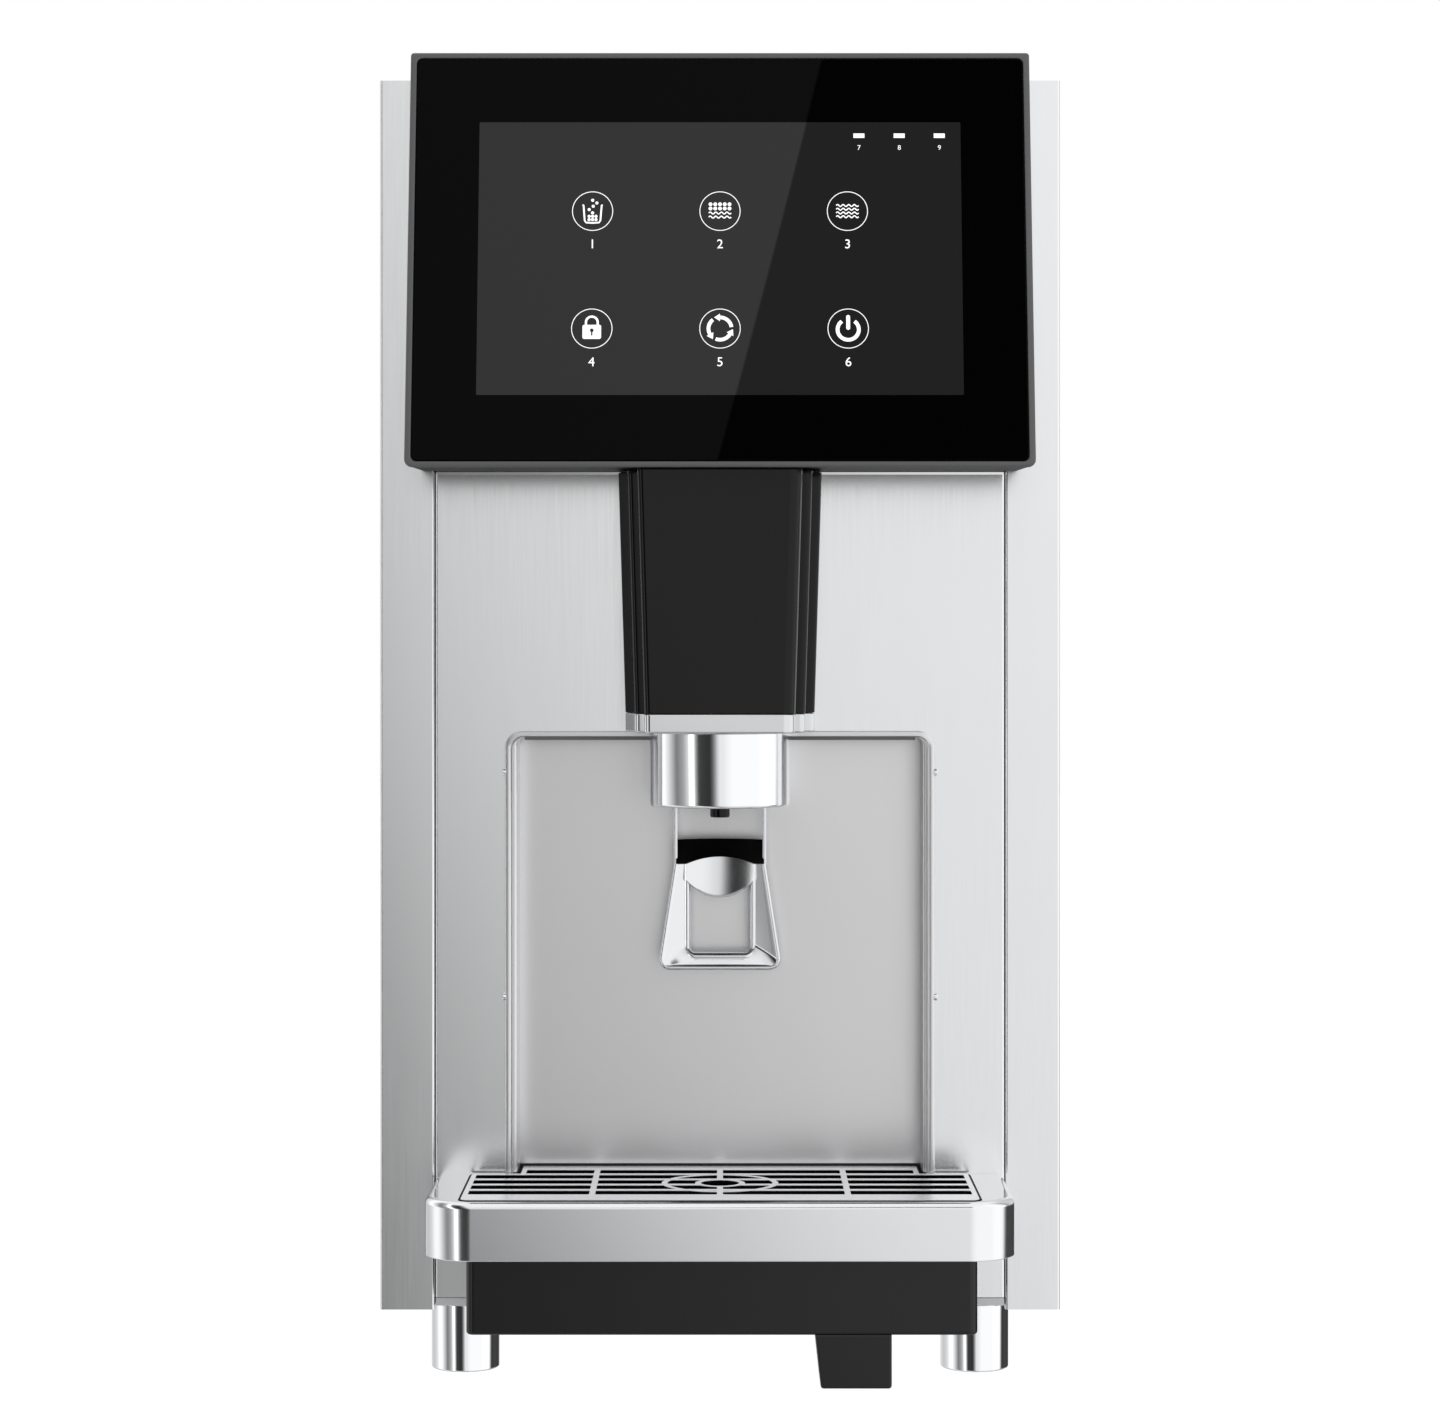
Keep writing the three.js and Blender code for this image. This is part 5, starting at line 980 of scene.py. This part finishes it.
@dataclass
class Drawing:
    """Flat white marks printed round one centre of the sloping face."""

    lay: Lay
    x: float
    y: float
    thickness: float = 0.09
    shell: Shell = field(default_factory=Shell)

    def fill(self, outline: Array) -> None:
        """Adds a flat form."""
        self.shell.prism(outline + (self.x, self.y), self.lay, 0.0, self.thickness)

    def stroke(self, path: Array, width: float) -> None:
        """Adds a flat stroke: the path moved half a width to each side along its normals.

        Args:
            path: the points of its middle line.
            width: its width.
        """
        way = np.gradient(path, axis=0)
        way /= np.linalg.norm(way, axis=1, keepdims=True)
        normal = np.stack([-way[:, 1], way[:, 0]], 1) * width / 2
        self.fill(np.vstack([path + normal, (path - normal)[::-1]]))

    def ring(self, radius: float, width: float) -> None:
        """Adds a flat ring.

        Args:
            radius: the radius of its middle line.
            width: its width.
        """
        half, deep = width / 2, self.thickness
        section = ((half, 0.0), (half, deep), (-half, deep), (-half, 0.0))
        loops = [self.lay(circle(self.x, self.y, radius + grow, 64), depth) for grow, depth in section]
        self.shell.rings(loops, closed=True)

    def dots(self, centres: Sequence[Pair], radius: float) -> None:
        """Adds round dots."""
        for centre in centres:
            self.fill(circle(*centre, radius, 20))

    def waves(self, levels: Sequence[float]) -> None:
        """Adds wavy lines: y = level + 0.5 sin(2πx / 2.78).

        Args:
            levels: the middle height of each.
        """
        across = np.linspace(-5.56, 5.56, 61)
        for level in levels:
            self.stroke(np.stack([across, level + 0.5 * np.sin(2 * np.pi * across / 2.78)], 1), 0.56)

    def cup(self) -> None:
        """A tumbler with ice falling into it."""
        self.stroke(np.array([(-5.0, 3.2), (-4.5, 3.0), (-3.9, -4.9), (-3.2, -5.9), (0.0, -6.1), (3.2, -5.9),
                              (3.9, -4.9), (4.5, 3.0), (5.0, 3.2)]), 0.85)
        pile = [(1.7 * i, 1.7 * j - 4.4) for j in range(2) for i in (-1, 0, 1)]
        self.dots(pile + [(0.0, -0.9), (-1.7, 0.8), (0.3, 2.5), (2.1, 4.2), (0.0, 5.6)], 0.78)

    def ice_water(self) -> None:
        """Ice over waves."""
        self.dots([(2.36 * i, 1.35 + 2.2 * j) for i in range(-2, 3) for j in range(2)], 0.95)
        self.waves((-1.0, -3.1))

    def water(self) -> None:
        """Four waves."""
        self.waves([1.93 * i - 2.9 for i in range(4)])

    def padlock(self) -> None:
        """A padlock."""
        self.fill(rounded(box_corners((-4.6, 4.6), (-5.3, 1.9), 0.9)))
        self.stroke(np.vstack([[(2.9, 1.6)], arc(0.0, 3.2, 2.9, 0, 180), [(-2.9, 1.6)]]), 1.1)

    def renew(self) -> None:
        """Three arrows in a circle."""
        for start in (8.0, 128.0, 248.0):
            self.stroke(arc(0.0, 0.0, 5.7, start, start + 82, 16), 1.8)
            out = arc(0.0, 0.0, 1.0, start + 82, start + 82, 0)[0]
            along = np.array([-out[1], out[0]])
            self.fill(np.array([out * 3.8, out * 7.6, out * 5.7 + along * 2.9]))

    def power(self) -> None:
        """An open ring with a bar through its gap."""
        self.stroke(arc(0.0, -0.5, 5.25, 127, 413), 1.85)
        self.fill(rounded(box_corners((-0.95, 0.95), (-0.6, 6.9), 0.9)))

    def keyhole(self) -> None:
        """The padlock's keyhole, a hair proud of it, in the window's own dark."""
        stem = np.array([(-0.35, -3.6), (0.35, -3.6), (0.35, -1.2), (-0.35, -1.2)])
        for outline in (circle(0.0, -0.9, 0.95, 24), stem):
            self.shell.prism(outline + (self.x, self.y), self.lay, -0.05, 0.02)


@dataclass
class Head:
    """Housing, bezel, glass, screen window, symbols and plain numbers."""

    half: float = 155.0
    length: float = 213.3
    tilt: float = math.radians(10.6)
    reach: float = 86.0
    bottom: float = 462.7
    under_rise: float = 1.7
    bezel: float = 5.0
    bezel_rim: float = 1.7
    glass_low: float = 2.7
    glass_high: float = 210.3
    glass_half: float = 151.85
    window_half: float = 120.0
    window_low: float = 36.2
    window_high: float = 176.6
    window_depths: Pair = (0.08, 0.2)
    glass_depths: Pair = (0.15, 3.0)
    glass_fit: float = 0.3
    glass_round: float = 3.0
    column: float = 63.3
    rows: Pair = (130.4, 70.0)
    ring: float = 10.0
    line: float = 0.36
    number_drop: float = 17.2
    number_size: float = 6.6
    status_drop: float = 40.7
    status_half: Pair = (2.75, 1.15)
    status_number_drop: float = 6.3
    status_number_size: float = 3.4
    status_places: tuple[float, ...] = (69.3, 89.4, 109.4)

    def lay(self, points: Array, depth: float | Array) -> Array:
        """Lays an outline on the sloping face.

        Args:
            points: x across and the distance up the slope.
            depth: how deep they lie in the head.

        Returns:
            The points in space.
        """
        sin, cos = math.sin(self.tilt), math.cos(self.tilt)
        up = points[:, 1]
        y, z = up * sin + depth * cos - self.reach, self.bottom + up * cos - depth * sin
        return np.column_stack([points[:, 0], y, z])

    def face_corners(self) -> list[Corner]:
        """The face's outline, rounder at the bottom."""
        return pane((self.half, 0.0, 4.0), (self.half, self.length, 1.6))

    def housing(self) -> None:
        """Lofts from the sloping face back to the upright panel, with a soft edge at the back."""
        start = self.lay(rounded(self.face_corners(), 0.3), self.bezel_rim + 0.2)
        low = self.bottom + self.under_rise
        high = self.bottom + self.length * math.cos(self.tilt) - self.bezel * math.sin(self.tilt)

        def back(inset: float, y: float) -> Array:
            """The face's loop stood upright, its heights stretched between the two ends.

            Args:
                inset: how far it is drawn in.
                y: where it stands.

            Returns:
                The loop's points.
            """
            loop = rounded(self.face_corners(), inset)
            loop[:, 1] = low + loop[:, 1] / self.length * (high - low)
            return front(loop, y)

        rings = [start + (back(0.3, -0.3) - start) * share for share in np.linspace(0, 0.93, 6)]
        rings += [back(0.6, -2.0), back(1.3, -0.8), back(2.3, -0.3)]
        room = Shell().stack(self.face_corners(), ((1.0, -OVERRUN), (1.0, self.bezel + 0.1)), self.lay)
        made = carve(Shell().rings(rings).solid("housing_shell"), room)
        dress(made, HOUSING, "dark_bezel", replaces=["head_housing"])

    def frame(self) -> None:
        """The bezel: a section carried round the glass, round outside and chamfered inside."""
        outer = self.face_corners()
        rim, foot = self.bezel_rim, self.bezel
        inner = box_corners(both(self.glass_half), (self.glass_low, self.glass_high), self.glass_round)
        wall = np.vstack([[(1.2, foot), (1.2, rim)], edge_profile(rim, 0.0, 0.0, 1.3)])
        seat = ((-0.5, 0.0), (-0.1, 0.25), (0.0, 0.7), (0.0, 3.3), (4.0, 3.3), (4.0, foot))
        rings = [self.lay(rounded(corners, inset), depth)
                 for corners, section in ((outer, wall), (inner, seat)) for inset, depth in section]
        made = Shell().rings(rings, closed=True).solid("bezel_shell")
        dress(made, BEZEL, "dark_bezel", replaces=["head_bezel"])

    def glass(self) -> None:
        """The touch glass and the darker screen window on it."""
        fit = self.glass_fit
        ends = (self.glass_low + fit, self.glass_high - fit)
        sheet = box_corners(both(self.glass_half - fit), ends, self.glass_round - fit)
        made = Shell().stack(sheet, edge_profile(*self.glass_depths, 0.5, 0.0), self.lay).solid("glass_shell")
        dress(made, GLASS, "black_glass", replaces=["touch_glass"])
        window = box_corners(both(self.window_half), (self.window_low, self.window_high), 0.6)
        made = Shell().prism(rounded(window), self.lay, *self.window_depths).solid("screen_window")
        dress(made, SCREEN, "display")

    def number(self, value: int, x: float, y: float, size: float) -> None:
        """A plain number, made a mesh and laid on the window.

        Args:
            value: the number.
            x: its middle across.
            y: its middle up the slope.
            size: height of the type.
        """
        name, half = f"number_{value}", Drawing.thickness / 2
        curve = bpy.data.curves.new(name, "FONT")
        curve.body, curve.size, curve.extrude = str(value), size, half
        curve.align_x = curve.align_y = "CENTER"
        holder = linked(name, curve)
        mesh = bpy.data.meshes.new_from_object(holder.evaluated_get(bpy.context.evaluated_depsgraph_get()))
        bpy.data.objects.remove(holder)
        points = np.empty(len(mesh.vertices) * 3)
        mesh.vertices.foreach_get("co", points)
        points = points.reshape(-1, 3)
        mesh.vertices.foreach_set("co", placed(self.lay(points[:, :2] + (x, y), half - points[:, 2])).ravel())
        dress(linked(name, mesh), SYMBOL, "display", crease=60)

    def symbols(self) -> None:
        """Six ringed symbols and three status marks, each with a plain number."""
        drawings = (Drawing.cup, Drawing.ice_water, Drawing.water,
                    Drawing.padlock, Drawing.renew, Drawing.power)
        for index, draw in enumerate(drawings):
            x, level = (index % 3 - 1) * self.column, self.rows[index // 3]
            mark = Drawing(self.lay, x, level)
            draw(mark)
            mark.ring(self.ring, self.line)
            dress(mark.shell.solid(f"symbol_{draw.__name__}"), SYMBOL, "display", crease=60)
            self.number(index + 1, x, level - self.number_drop, self.number_size)
        hole = Drawing(self.lay, -self.column, self.rows[1])
        hole.keyhole()
        dress(hole.shell.solid("symbol_keyhole"), SCREEN, "display")
        y = self.glass_high - self.status_drop
        for index, x in enumerate(self.status_places):
            mark = Drawing(self.lay, x, y)
            mark.fill(rounded(box_corners(*map(both, self.status_half), 0.15)))
            dress(mark.shell.solid(f"status_mark_{index + 1}"), SYMBOL, "display", crease=60)
            self.number(len(drawings) + index + 1, x, y - self.status_number_drop, self.status_number_size)

    def build(self) -> None:
        """Builds every piece of the head."""
        self.housing()
        self.frame()
        self.glass()
        self.symbols()


# The dispensing neck, spout and lever.

@dataclass
class Dispenser:
    """Stepped neck, chrome band, round spout, water nozzle and the push lever."""

    axis: float = -36.0
    neck_bottom: float = 341.2
    neck_top: float = 462.4
    band_bottom: float = 331.5
    half_bottom: float = 37.4
    half_top: float = 41.0
    neck_front: float = -74.0
    neck_step: float = -56.0
    neck_flank: float = -36.0
    neck_left: float = -29.6
    neck_back: float = 9.0
    step_width: float = 5.2
    neck_wall: float = 2.5
    behind: tuple[Pair, Pair, Pair] = ((-70.0, 70.0), (-0.3, 20.0), (300.0, 480.0))
    gap: float = 0.3
    spout_bottom: float = 294.2
    spout_radius: float = 35.15
    spout_bore: float = 31.2
    rail_half: float = 24.0
    rail: float = 2.2
    rail_top: float = 357.0
    rail_foot: float = 260.0
    rail_depths: Pair = (1.0, 7.0)
    bore_levels: Pair = (320.0, 350.0)
    nozzle: tuple[Pair, ...] = (
        (4.4, 288.5), (4.9, 289.0), (5.0, 289.8), (5.0, 340.5), (3.0, 340.5), (3.0, 288.5))
    pipe_level: float = 337.5
    pipe_radius: float = 2.9
    pipe_ends: Pair = (-31.5, 26.0)
    shoulder: float = 262.5
    pad_half: float = 22.7
    pad_top: float = 275.0
    lever_low: float = 208.0
    lever_back: float = 8.0
    flare: float = 8.5
    slope: float = 0.51
    window_half: float = 15.1
    window_low: float = 216.7
    window_drop: float = 5.5
    window_bead: tuple[Pair, ...] = (
        (-2.5, -0.16), (-1.9, -0.3), (-1.4, -0.22), (-0.9, 0.1), (-0.4, 0.7), (0.0, 1.6))
    frame_over: float = 15.5
    rim_depth: float = 0.7
    rim_width: float = 2.3
    lip_out: float = 3.2
    scoop_sag: float = 9.0
    scoop_half: float = 17.4
    scoop_low: float = 254.0
    scoop_rise: float = 3.7
    scoop_radius: float = 48.0
    scoop_axis: float = 43.3

    def neck_corners(self, half: float) -> list[Corner]:
        """The neck's plan: a front face with a wide round on its right, and two steps on each side.

        Args:
            half: half the front face's width.

        Returns:
            Its corners.
        """
        middle, outer = half + self.step_width, half + 2 * self.step_width
        ahead, step, flank, back = self.neck_front, self.neck_step, self.neck_flank, self.neck_back
        return [(-outer, back, 0.0), (-outer, self.neck_left, 0.5), (-middle - 0.6, flank, 0.3),
                (-middle, flank, 0.3), (-middle, step, 2.6), (-half, step, 0.35), (-half, ahead, 3.0),
                (half, ahead, 6.4), (half, step, 0.35), (middle, step, 3.0), (middle, flank - 0.4, 0.35),
                (outer, flank, 2.6), (outer, back, 0.0)]

    def neck(self) -> None:
        """The black cover, whose plan widens evenly with height, and the chrome band under it."""
        rings = []
        for inset, level in edge_profile(self.neck_bottom, self.neck_top, 0.5, 0.0):
            share = (level - self.neck_bottom) / (self.neck_top - self.neck_bottom)
            half = self.half_bottom + share * (self.half_top - self.half_bottom)
            rings.append(plan(rounded(self.neck_corners(half), inset), level))
        rings += [plan(rounded(self.neck_corners(half), self.neck_wall), level)
                  for half, level in ((self.half_top, self.neck_top), (self.half_bottom, self.neck_bottom))]
        behind = Shell().block(*self.behind)
        made = carve(Shell().rings(rings, closed=True).solid("neck_shell"), behind)
        dress(made, NECK, "black_plastic", replaces=["chute_cover"])
        profile = edge_profile(self.band_bottom, self.neck_bottom - self.gap, 1.0, 0.5)
        shell = Shell().stack(self.neck_corners(self.half_bottom), profile, plan)
        hole = circle(0.0, self.axis, self.spout_bore - self.gap)
        bore = Shell().prism(hole, plan, *self.bore_levels)
        dress(carve(shell.solid("band_shell"), behind, bore), BAND_CHROME, "chrome", replaces=["chrome_band"])

    def spout(self) -> None:
        """The round chrome spout and the water nozzle inside it."""
        top = self.band_bottom - self.gap
        outside = edge_profile(self.spout_bottom, top, 1.4, 0.2) * (-1, 1) + (self.spout_radius, 0.0)
        inside = edge_profile(top, self.spout_bottom, 0.0, 0.8) + (self.spout_bore, 0.0)
        shell = Shell().turned(np.vstack([outside, inside]), 0.0, self.axis, 128, closed=True)
        dress(shell.solid("spout_shell"), SPOUT_CHROME, "chrome", replaces=["spout_collar"])
        shell = Shell().turned(self.nozzle, 0.0, self.axis, 48, closed=True)
        shell.prism(circle(0.0, self.pipe_level, self.pipe_radius, 24), front, *self.pipe_ends)
        dress(shell.solid("nozzle_shell"), NECK, "black_plastic", replaces=["water_nozzle"])

    def lever_frame(self) -> Piece:
        """The flared frame: loops from its outline to its window, with a face that falls at one slope.

        The half width at a height is the rails' half width plus the flare times the drop below the shoulder.
        The loops reach past the shoulder and are cut there, and where the scoop goes. A low bead runs round
        the window.

        Returns:
            The frame.
        """
        low, top, window = self.lever_low, self.shoulder + self.frame_over, self.window_half
        rim_depth, lip_out = self.rim_depth, self.lip_out

        def half(level: float | Array) -> float | Array:
            """Half the frame's width at a height."""
            return self.rail_half + self.flare * (self.shoulder - level) / (self.shoulder - low)

        outer = pane((half(low), low, 6.0), (half(top), top, 0.5))
        base, crest = self.window_low, top - self.window_drop
        wide = pane((window, base, 2.0), (window, crest, 0.5))
        wall = edge_profile(self.lever_back, 0.0, 0.6, 1.5)
        rings = [front(rounded(outer, inset), depth) for inset, depth in wall]
        around = [(math.copysign(window + lip_out, x), z + math.copysign(lip_out, z - base - 1.0), bend)
                  for (x, z, _), bend in zip(wide, (7.5, 7.5, 3.7, 3.7))]
        rim, lip = rounded(outer, self.rim_width), rounded(around)
        rings += [front(rounded(outer, 1.9), 0.2), front(rim, rim_depth)]
        room = np.minimum(half(lip[:, 1]) - self.rim_width - window - lip_out,
                          3.0 + 0.9 * (lip[:, 1] - lip[:, 1].min()))
        fall = self.slope * room
        for share in np.linspace(0, 1, 5)[1:]:
            points = rim + (lip - rim) * share
            rings.append(np.column_stack([points[:, 0], rim_depth + fall * share, points[:, 1]]))
        for inset, deeper in self.window_bead:
            points = rounded(wide, inset)
            depth = np.minimum(rim_depth + fall + deeper, self.lever_back - 0.4)
            rings.append(np.column_stack([points[:, 0], depth, points[:, 1]]))
        rings.append(front(rounded(wide), self.lever_back))
        through = (-OVERRUN, self.lever_back + OVERRUN)
        scoop = Shell().block(both(self.scoop_half), through, (self.scoop_low, top + OVERRUN))
        above = Shell().block(both(half(low) + OVERRUN), through, (self.shoulder, top + OVERRUN))
        return carve(Shell().rings(rings, closed=True).solid("lever_shell"), scoop, above)

    def scoop(self, shell: Shell) -> None:
        """Adds the hollow scoop, whose front is y = √(R² − x²) − axis between a lower and an upper arc.

        Args:
            shell: the faces that it joins.
        """
        across = np.linspace(-self.scoop_half, self.scoop_half, 41)
        rise = 1 - (across / self.scoop_half) ** 2
        lower, upper = self.scoop_low - self.scoop_sag * rise, self.shoulder + self.scoop_rise * rise
        hollow = np.sqrt(self.scoop_radius ** 2 - across ** 2) - self.scoop_axis
        rings = []
        for share, inset in ((0.0, 0.5), (0.03, 0.1), (0.08, 0.0), (0.5, 0.0), (1.0, 0.0)):
            level = lower + (upper - lower) * share
            ahead = np.column_stack([across, hollow + inset, level])
            behind = np.column_stack([across, np.full_like(across, self.lever_back - inset), level])
            rings.append(np.vstack([ahead, behind[::-1]]))
        shell.rings(rings)

    def lever(self) -> None:
        """The chrome lever with its two rails, and the black cross-piece between them."""
        shell = Shell()
        self.scoop(shell)
        ahead, behind = self.rail_depths
        foot, top, outer, inner = self.rail_foot, self.rail_top, self.rail_half, self.rail_half - self.rail
        strip = [(ahead, foot, 0.0), (behind, foot, 0.0), (behind, top, 2.9), (ahead, top, 2.9)]
        for low, high in ((-outer, -inner), (inner, outer)):
            shell.stack(strip, edge_profile(low, high, 0.6, 0.6), side)
        made, rails = self.lever_frame(), shell.solid("rails")
        work = bmesh.new()
        for mesh in (made.data, rails.data):
            work.from_mesh(mesh)
        work.to_mesh(made.data)
        work.free()
        bpy.data.objects.remove(rails)
        dress(made, LEVER_CHROME, "chrome", "lever", ["dispense_lever"], crease=40)
        across = np.linspace(-self.pad_half, self.pad_half, 51)
        rise = np.clip(1 - (across / self.scoop_half) ** 2, 0.0, None)
        low = self.shoulder + self.scoop_rise * rise + self.gap
        high = self.pad_top + 0.5 * (1 - (across / self.pad_half) ** 2)
        sections = [np.array([(0.0, a), (8.0, a), (8.0, b - 1.5), (7.4, b - 0.4), (6.2, b), (5.4, b),
                              (4.6, b - 0.5), (4.0, b - 1.6)]) for a, b in zip(low, high)]
        pad = Shell().rings([side(section, x) for section, x in zip(sections, across)])
        dress(pad.solid("pad_shell"), PAD_PLASTIC, "black_plastic", "lever", ["lever_pad"])

    def build(self) -> None:
        """Builds every piece of the dispenser."""
        self.neck()
        self.spout()
        self.lever()


# The drip tray.

@dataclass
class Tray:
    """Chrome skirt, slotted grate, black pan and drain spout."""

    half: float = 145.6
    reach: float = 95.0
    top: float = 104.1
    bottom: float = 74.5
    corner: float = 24.0
    nose: float = 3.5
    wall: float = 2.5
    grate_half: float = 128.0
    grate_front: float = -91.8
    grate_back: float = -4.0
    tongue_half: float = 103.0
    tongue_back: float = 22.9
    rim: float = 3.4
    bar: float = 3.0
    bay: float = 63.2
    row_pitch: float = 17.3
    ring_radii: Pair = (27.9, 11.1)
    eye_radius: float = 9.6
    sheet: float = 0.25
    carrier_level: float = 101.1
    cut_levels: Pair = (98.0, 110.0)
    rows: int = 5
    axis: float = -36.0
    back: float = 12.0
    seat_level: float = 100.8
    tongue_level: float = 91.5
    pan_level: float = 96.8
    well_half: float = 125.0
    well_front: float = -85.3
    well_roof: float = 103.0
    fit: float = 0.4
    row_back: float = 2.0
    slot_half: float = 6.2
    pan_x: Pair = (-124.7, 126.5)
    pan_y: Pair = (-85.0, -0.3)
    pan_levels: Pair = (36.7, 96.5)
    pan_floor: float = 39.2
    drain: tuple[Corner, ...] = ((49.5, 10.4, 1.6), (84.3, 10.4, 1.6), (84.3, 37.2, 0.4), (46.6, 37.2, 0.4))
    drain_ends: Pair = (-85.0, -47.0)
    drain_bore: Corner = (65.45, -66.0, 8.0)
    drain_roof: float = 34.0

    def skirt(self) -> None:
        """The skirt: one outline drawn in at the bottom edge and over the round nose, then hollowed."""

        def outline(back: float) -> list[Corner]:
            """The tray's plan up to a y behind the panel."""
            return [(-self.half, back, 0.0), (-self.half, -self.reach, self.corner),
                    (self.half, -self.reach, self.corner), (self.half, back, 0.0)]

        profile = edge_profile(self.bottom, self.top - 0.6, 0.5, self.nose, 8)
        shell = Shell().stack(outline(self.back), profile, plan, 16)
        wide, ahead, behind = self.grate_half + self.fit, self.grate_front - self.fit, self.grate_back + 0.3
        seat = rounded(pane((wide, ahead, 5.4), (wide, behind, 1.0)))
        below, above = self.bottom - OVERRUN, self.top + OVERRUN
        deep = both(-2 * self.grate_back)
        made = carve(
            shell.solid("skirt_shell"),
            Shell().block(both(self.half + OVERRUN), (-0.3, self.back + OVERRUN), (below, above)),
            Shell().prism(seat, plan, self.seat_level, above),
            Shell().block(both(self.tongue_half + self.fit), deep, (self.tongue_level, above)),
            Shell().block(both(self.well_half), (self.well_front, self.grate_back), (below, self.well_roof)),
            Shell().prism(rounded(outline(2 * self.back), self.wall, 12), plan, below, self.pan_level))
        dress(made, SKIRT_CHROME, "chrome", "drip_tray", ["tray_skirt"], bevel=0.3, crease=24)

    def grate(self) -> None:
        """The grate: five rows of slots between long bars, less two rings round the spout's axis."""
        wide, tongue, step = self.grate_half, self.tongue_half, self.grate_back
        outline = pane((wide, self.grate_front, 5.0), (wide, step, 2.0))
        outline[3:3] = [(tongue, step, 0.0), (tongue, self.tongue_back, 1.0), (-tongue, self.tongue_back, 1.0),
                        (-tongue, step, 0.0)]
        level = self.top - self.sheet
        plate = Shell().prism(rounded(outline, 0.9), plan, level, self.top).solid("grate_shell")
        carrier = Shell().prism(rounded(outline, 0.1), plan, self.carrier_level, level).solid("grate_carrier")
        eye = Shell().prism(circle(0.0, self.axis, self.eye_radius, 64), plan, *self.cut_levels)
        for made, finish, slot, nodes in ((plate, GRATE_STEEL, "satin_steel", ["drip_grate"]),
                                          (carrier, CARRIER, "black_plastic", [])):
            dress(self.pierced(made, eye), finish, slot, "grate", nodes)

    def pierced(self, made: Piece, eye: Shell) -> Piece:
        """Cuts the slots, less the two rings, and the eye.

        Args:
            made: the sheet.
            eye: the hole in the middle.

        Returns:
            The sheet.
        """
        below, above = self.cut_levels
        edge, half_bar = self.grate_half - self.rim, self.bar / 2
        cells = (-edge, -self.bay, 0.0, self.bay, edge)
        slots = Shell()
        for row in range(self.rows):
            y = self.row_back - self.row_pitch * row
            end = self.grate_half if row else self.tongue_half - self.rim
            for left, right in zip(cells, cells[1:]):
                x0 = max(left + (half_bar if left > -edge else 0.0), -end)
                x1 = min(right - (half_bar if right < edge else 0.0), end)
                slot = box_corners((x0, x1), (y - self.slot_half, y + self.slot_half), 0.8)
                slots.prism(rounded(slot, steps=3), plan, below, above)
        section = [(x, z) for x, z, _ in box_corners(both(half_bar), (below - 2.0, above + 2.0), 0.0)]
        rings = [Shell().turned([(radius + grow, z) for grow, z in section], 0.0, self.axis, 128, closed=True)
                 for radius in self.ring_radii]
        holes = carve(slots.solid("holes"), *rings)
        return carve(made, holes, eye)

    def pan(self) -> None:
        """The black pan and its drain spout."""
        low, high = self.pan_levels
        inside = edge_profile(self.pan_floor, high - 0.1, 1.0, 0.0) + (self.wall, 0.0)
        profile = np.vstack([inside, edge_profile(high, low, 0.3, 1.6)])
        made = Shell().stack(box_corners(self.pan_x, self.pan_y, 4.0), profile, plan)
        dress(made.solid("pan_shell"), BLACK_PLASTIC, "black_plastic", "drip_tray", ["drip_pan"])
        shell = Shell().stack(self.drain, edge_profile(*self.drain_ends, 1.2, 1.2), front)
        bore = Shell().prism(circle(*self.drain_bore, 48), plan, 0.0, self.drain_roof)
        made = carve(shell.solid("drain_spout_shell"), bore)
        dress(made, BLACK_PLASTIC, "black_plastic", "drip_tray", ["drain_spout"])

    def build(self) -> None:
        """Builds every piece of the tray."""
        self.skirt()
        self.grate()
        self.pan()


def finish_solids() -> None:
    """Gives each solid that stays in view its finish."""
    for finish, names in CAD_FINISHES.items():
        for name in names:
            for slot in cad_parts[name].material_slots:
                slot.material = finish.material()


def main() -> None:
    """Builds the studio and every sub-assembly in order."""
    logging.basicConfig(level=logging.INFO, format="%(message)s")
    for part in (Studio(), Cabinet(), Services(), Head(), Dispenser(), Tray()):
        LOG.info("building %s", type(part).__name__)
        part.build()
    finish_solids()


if __name__ == "__main__":
    main()
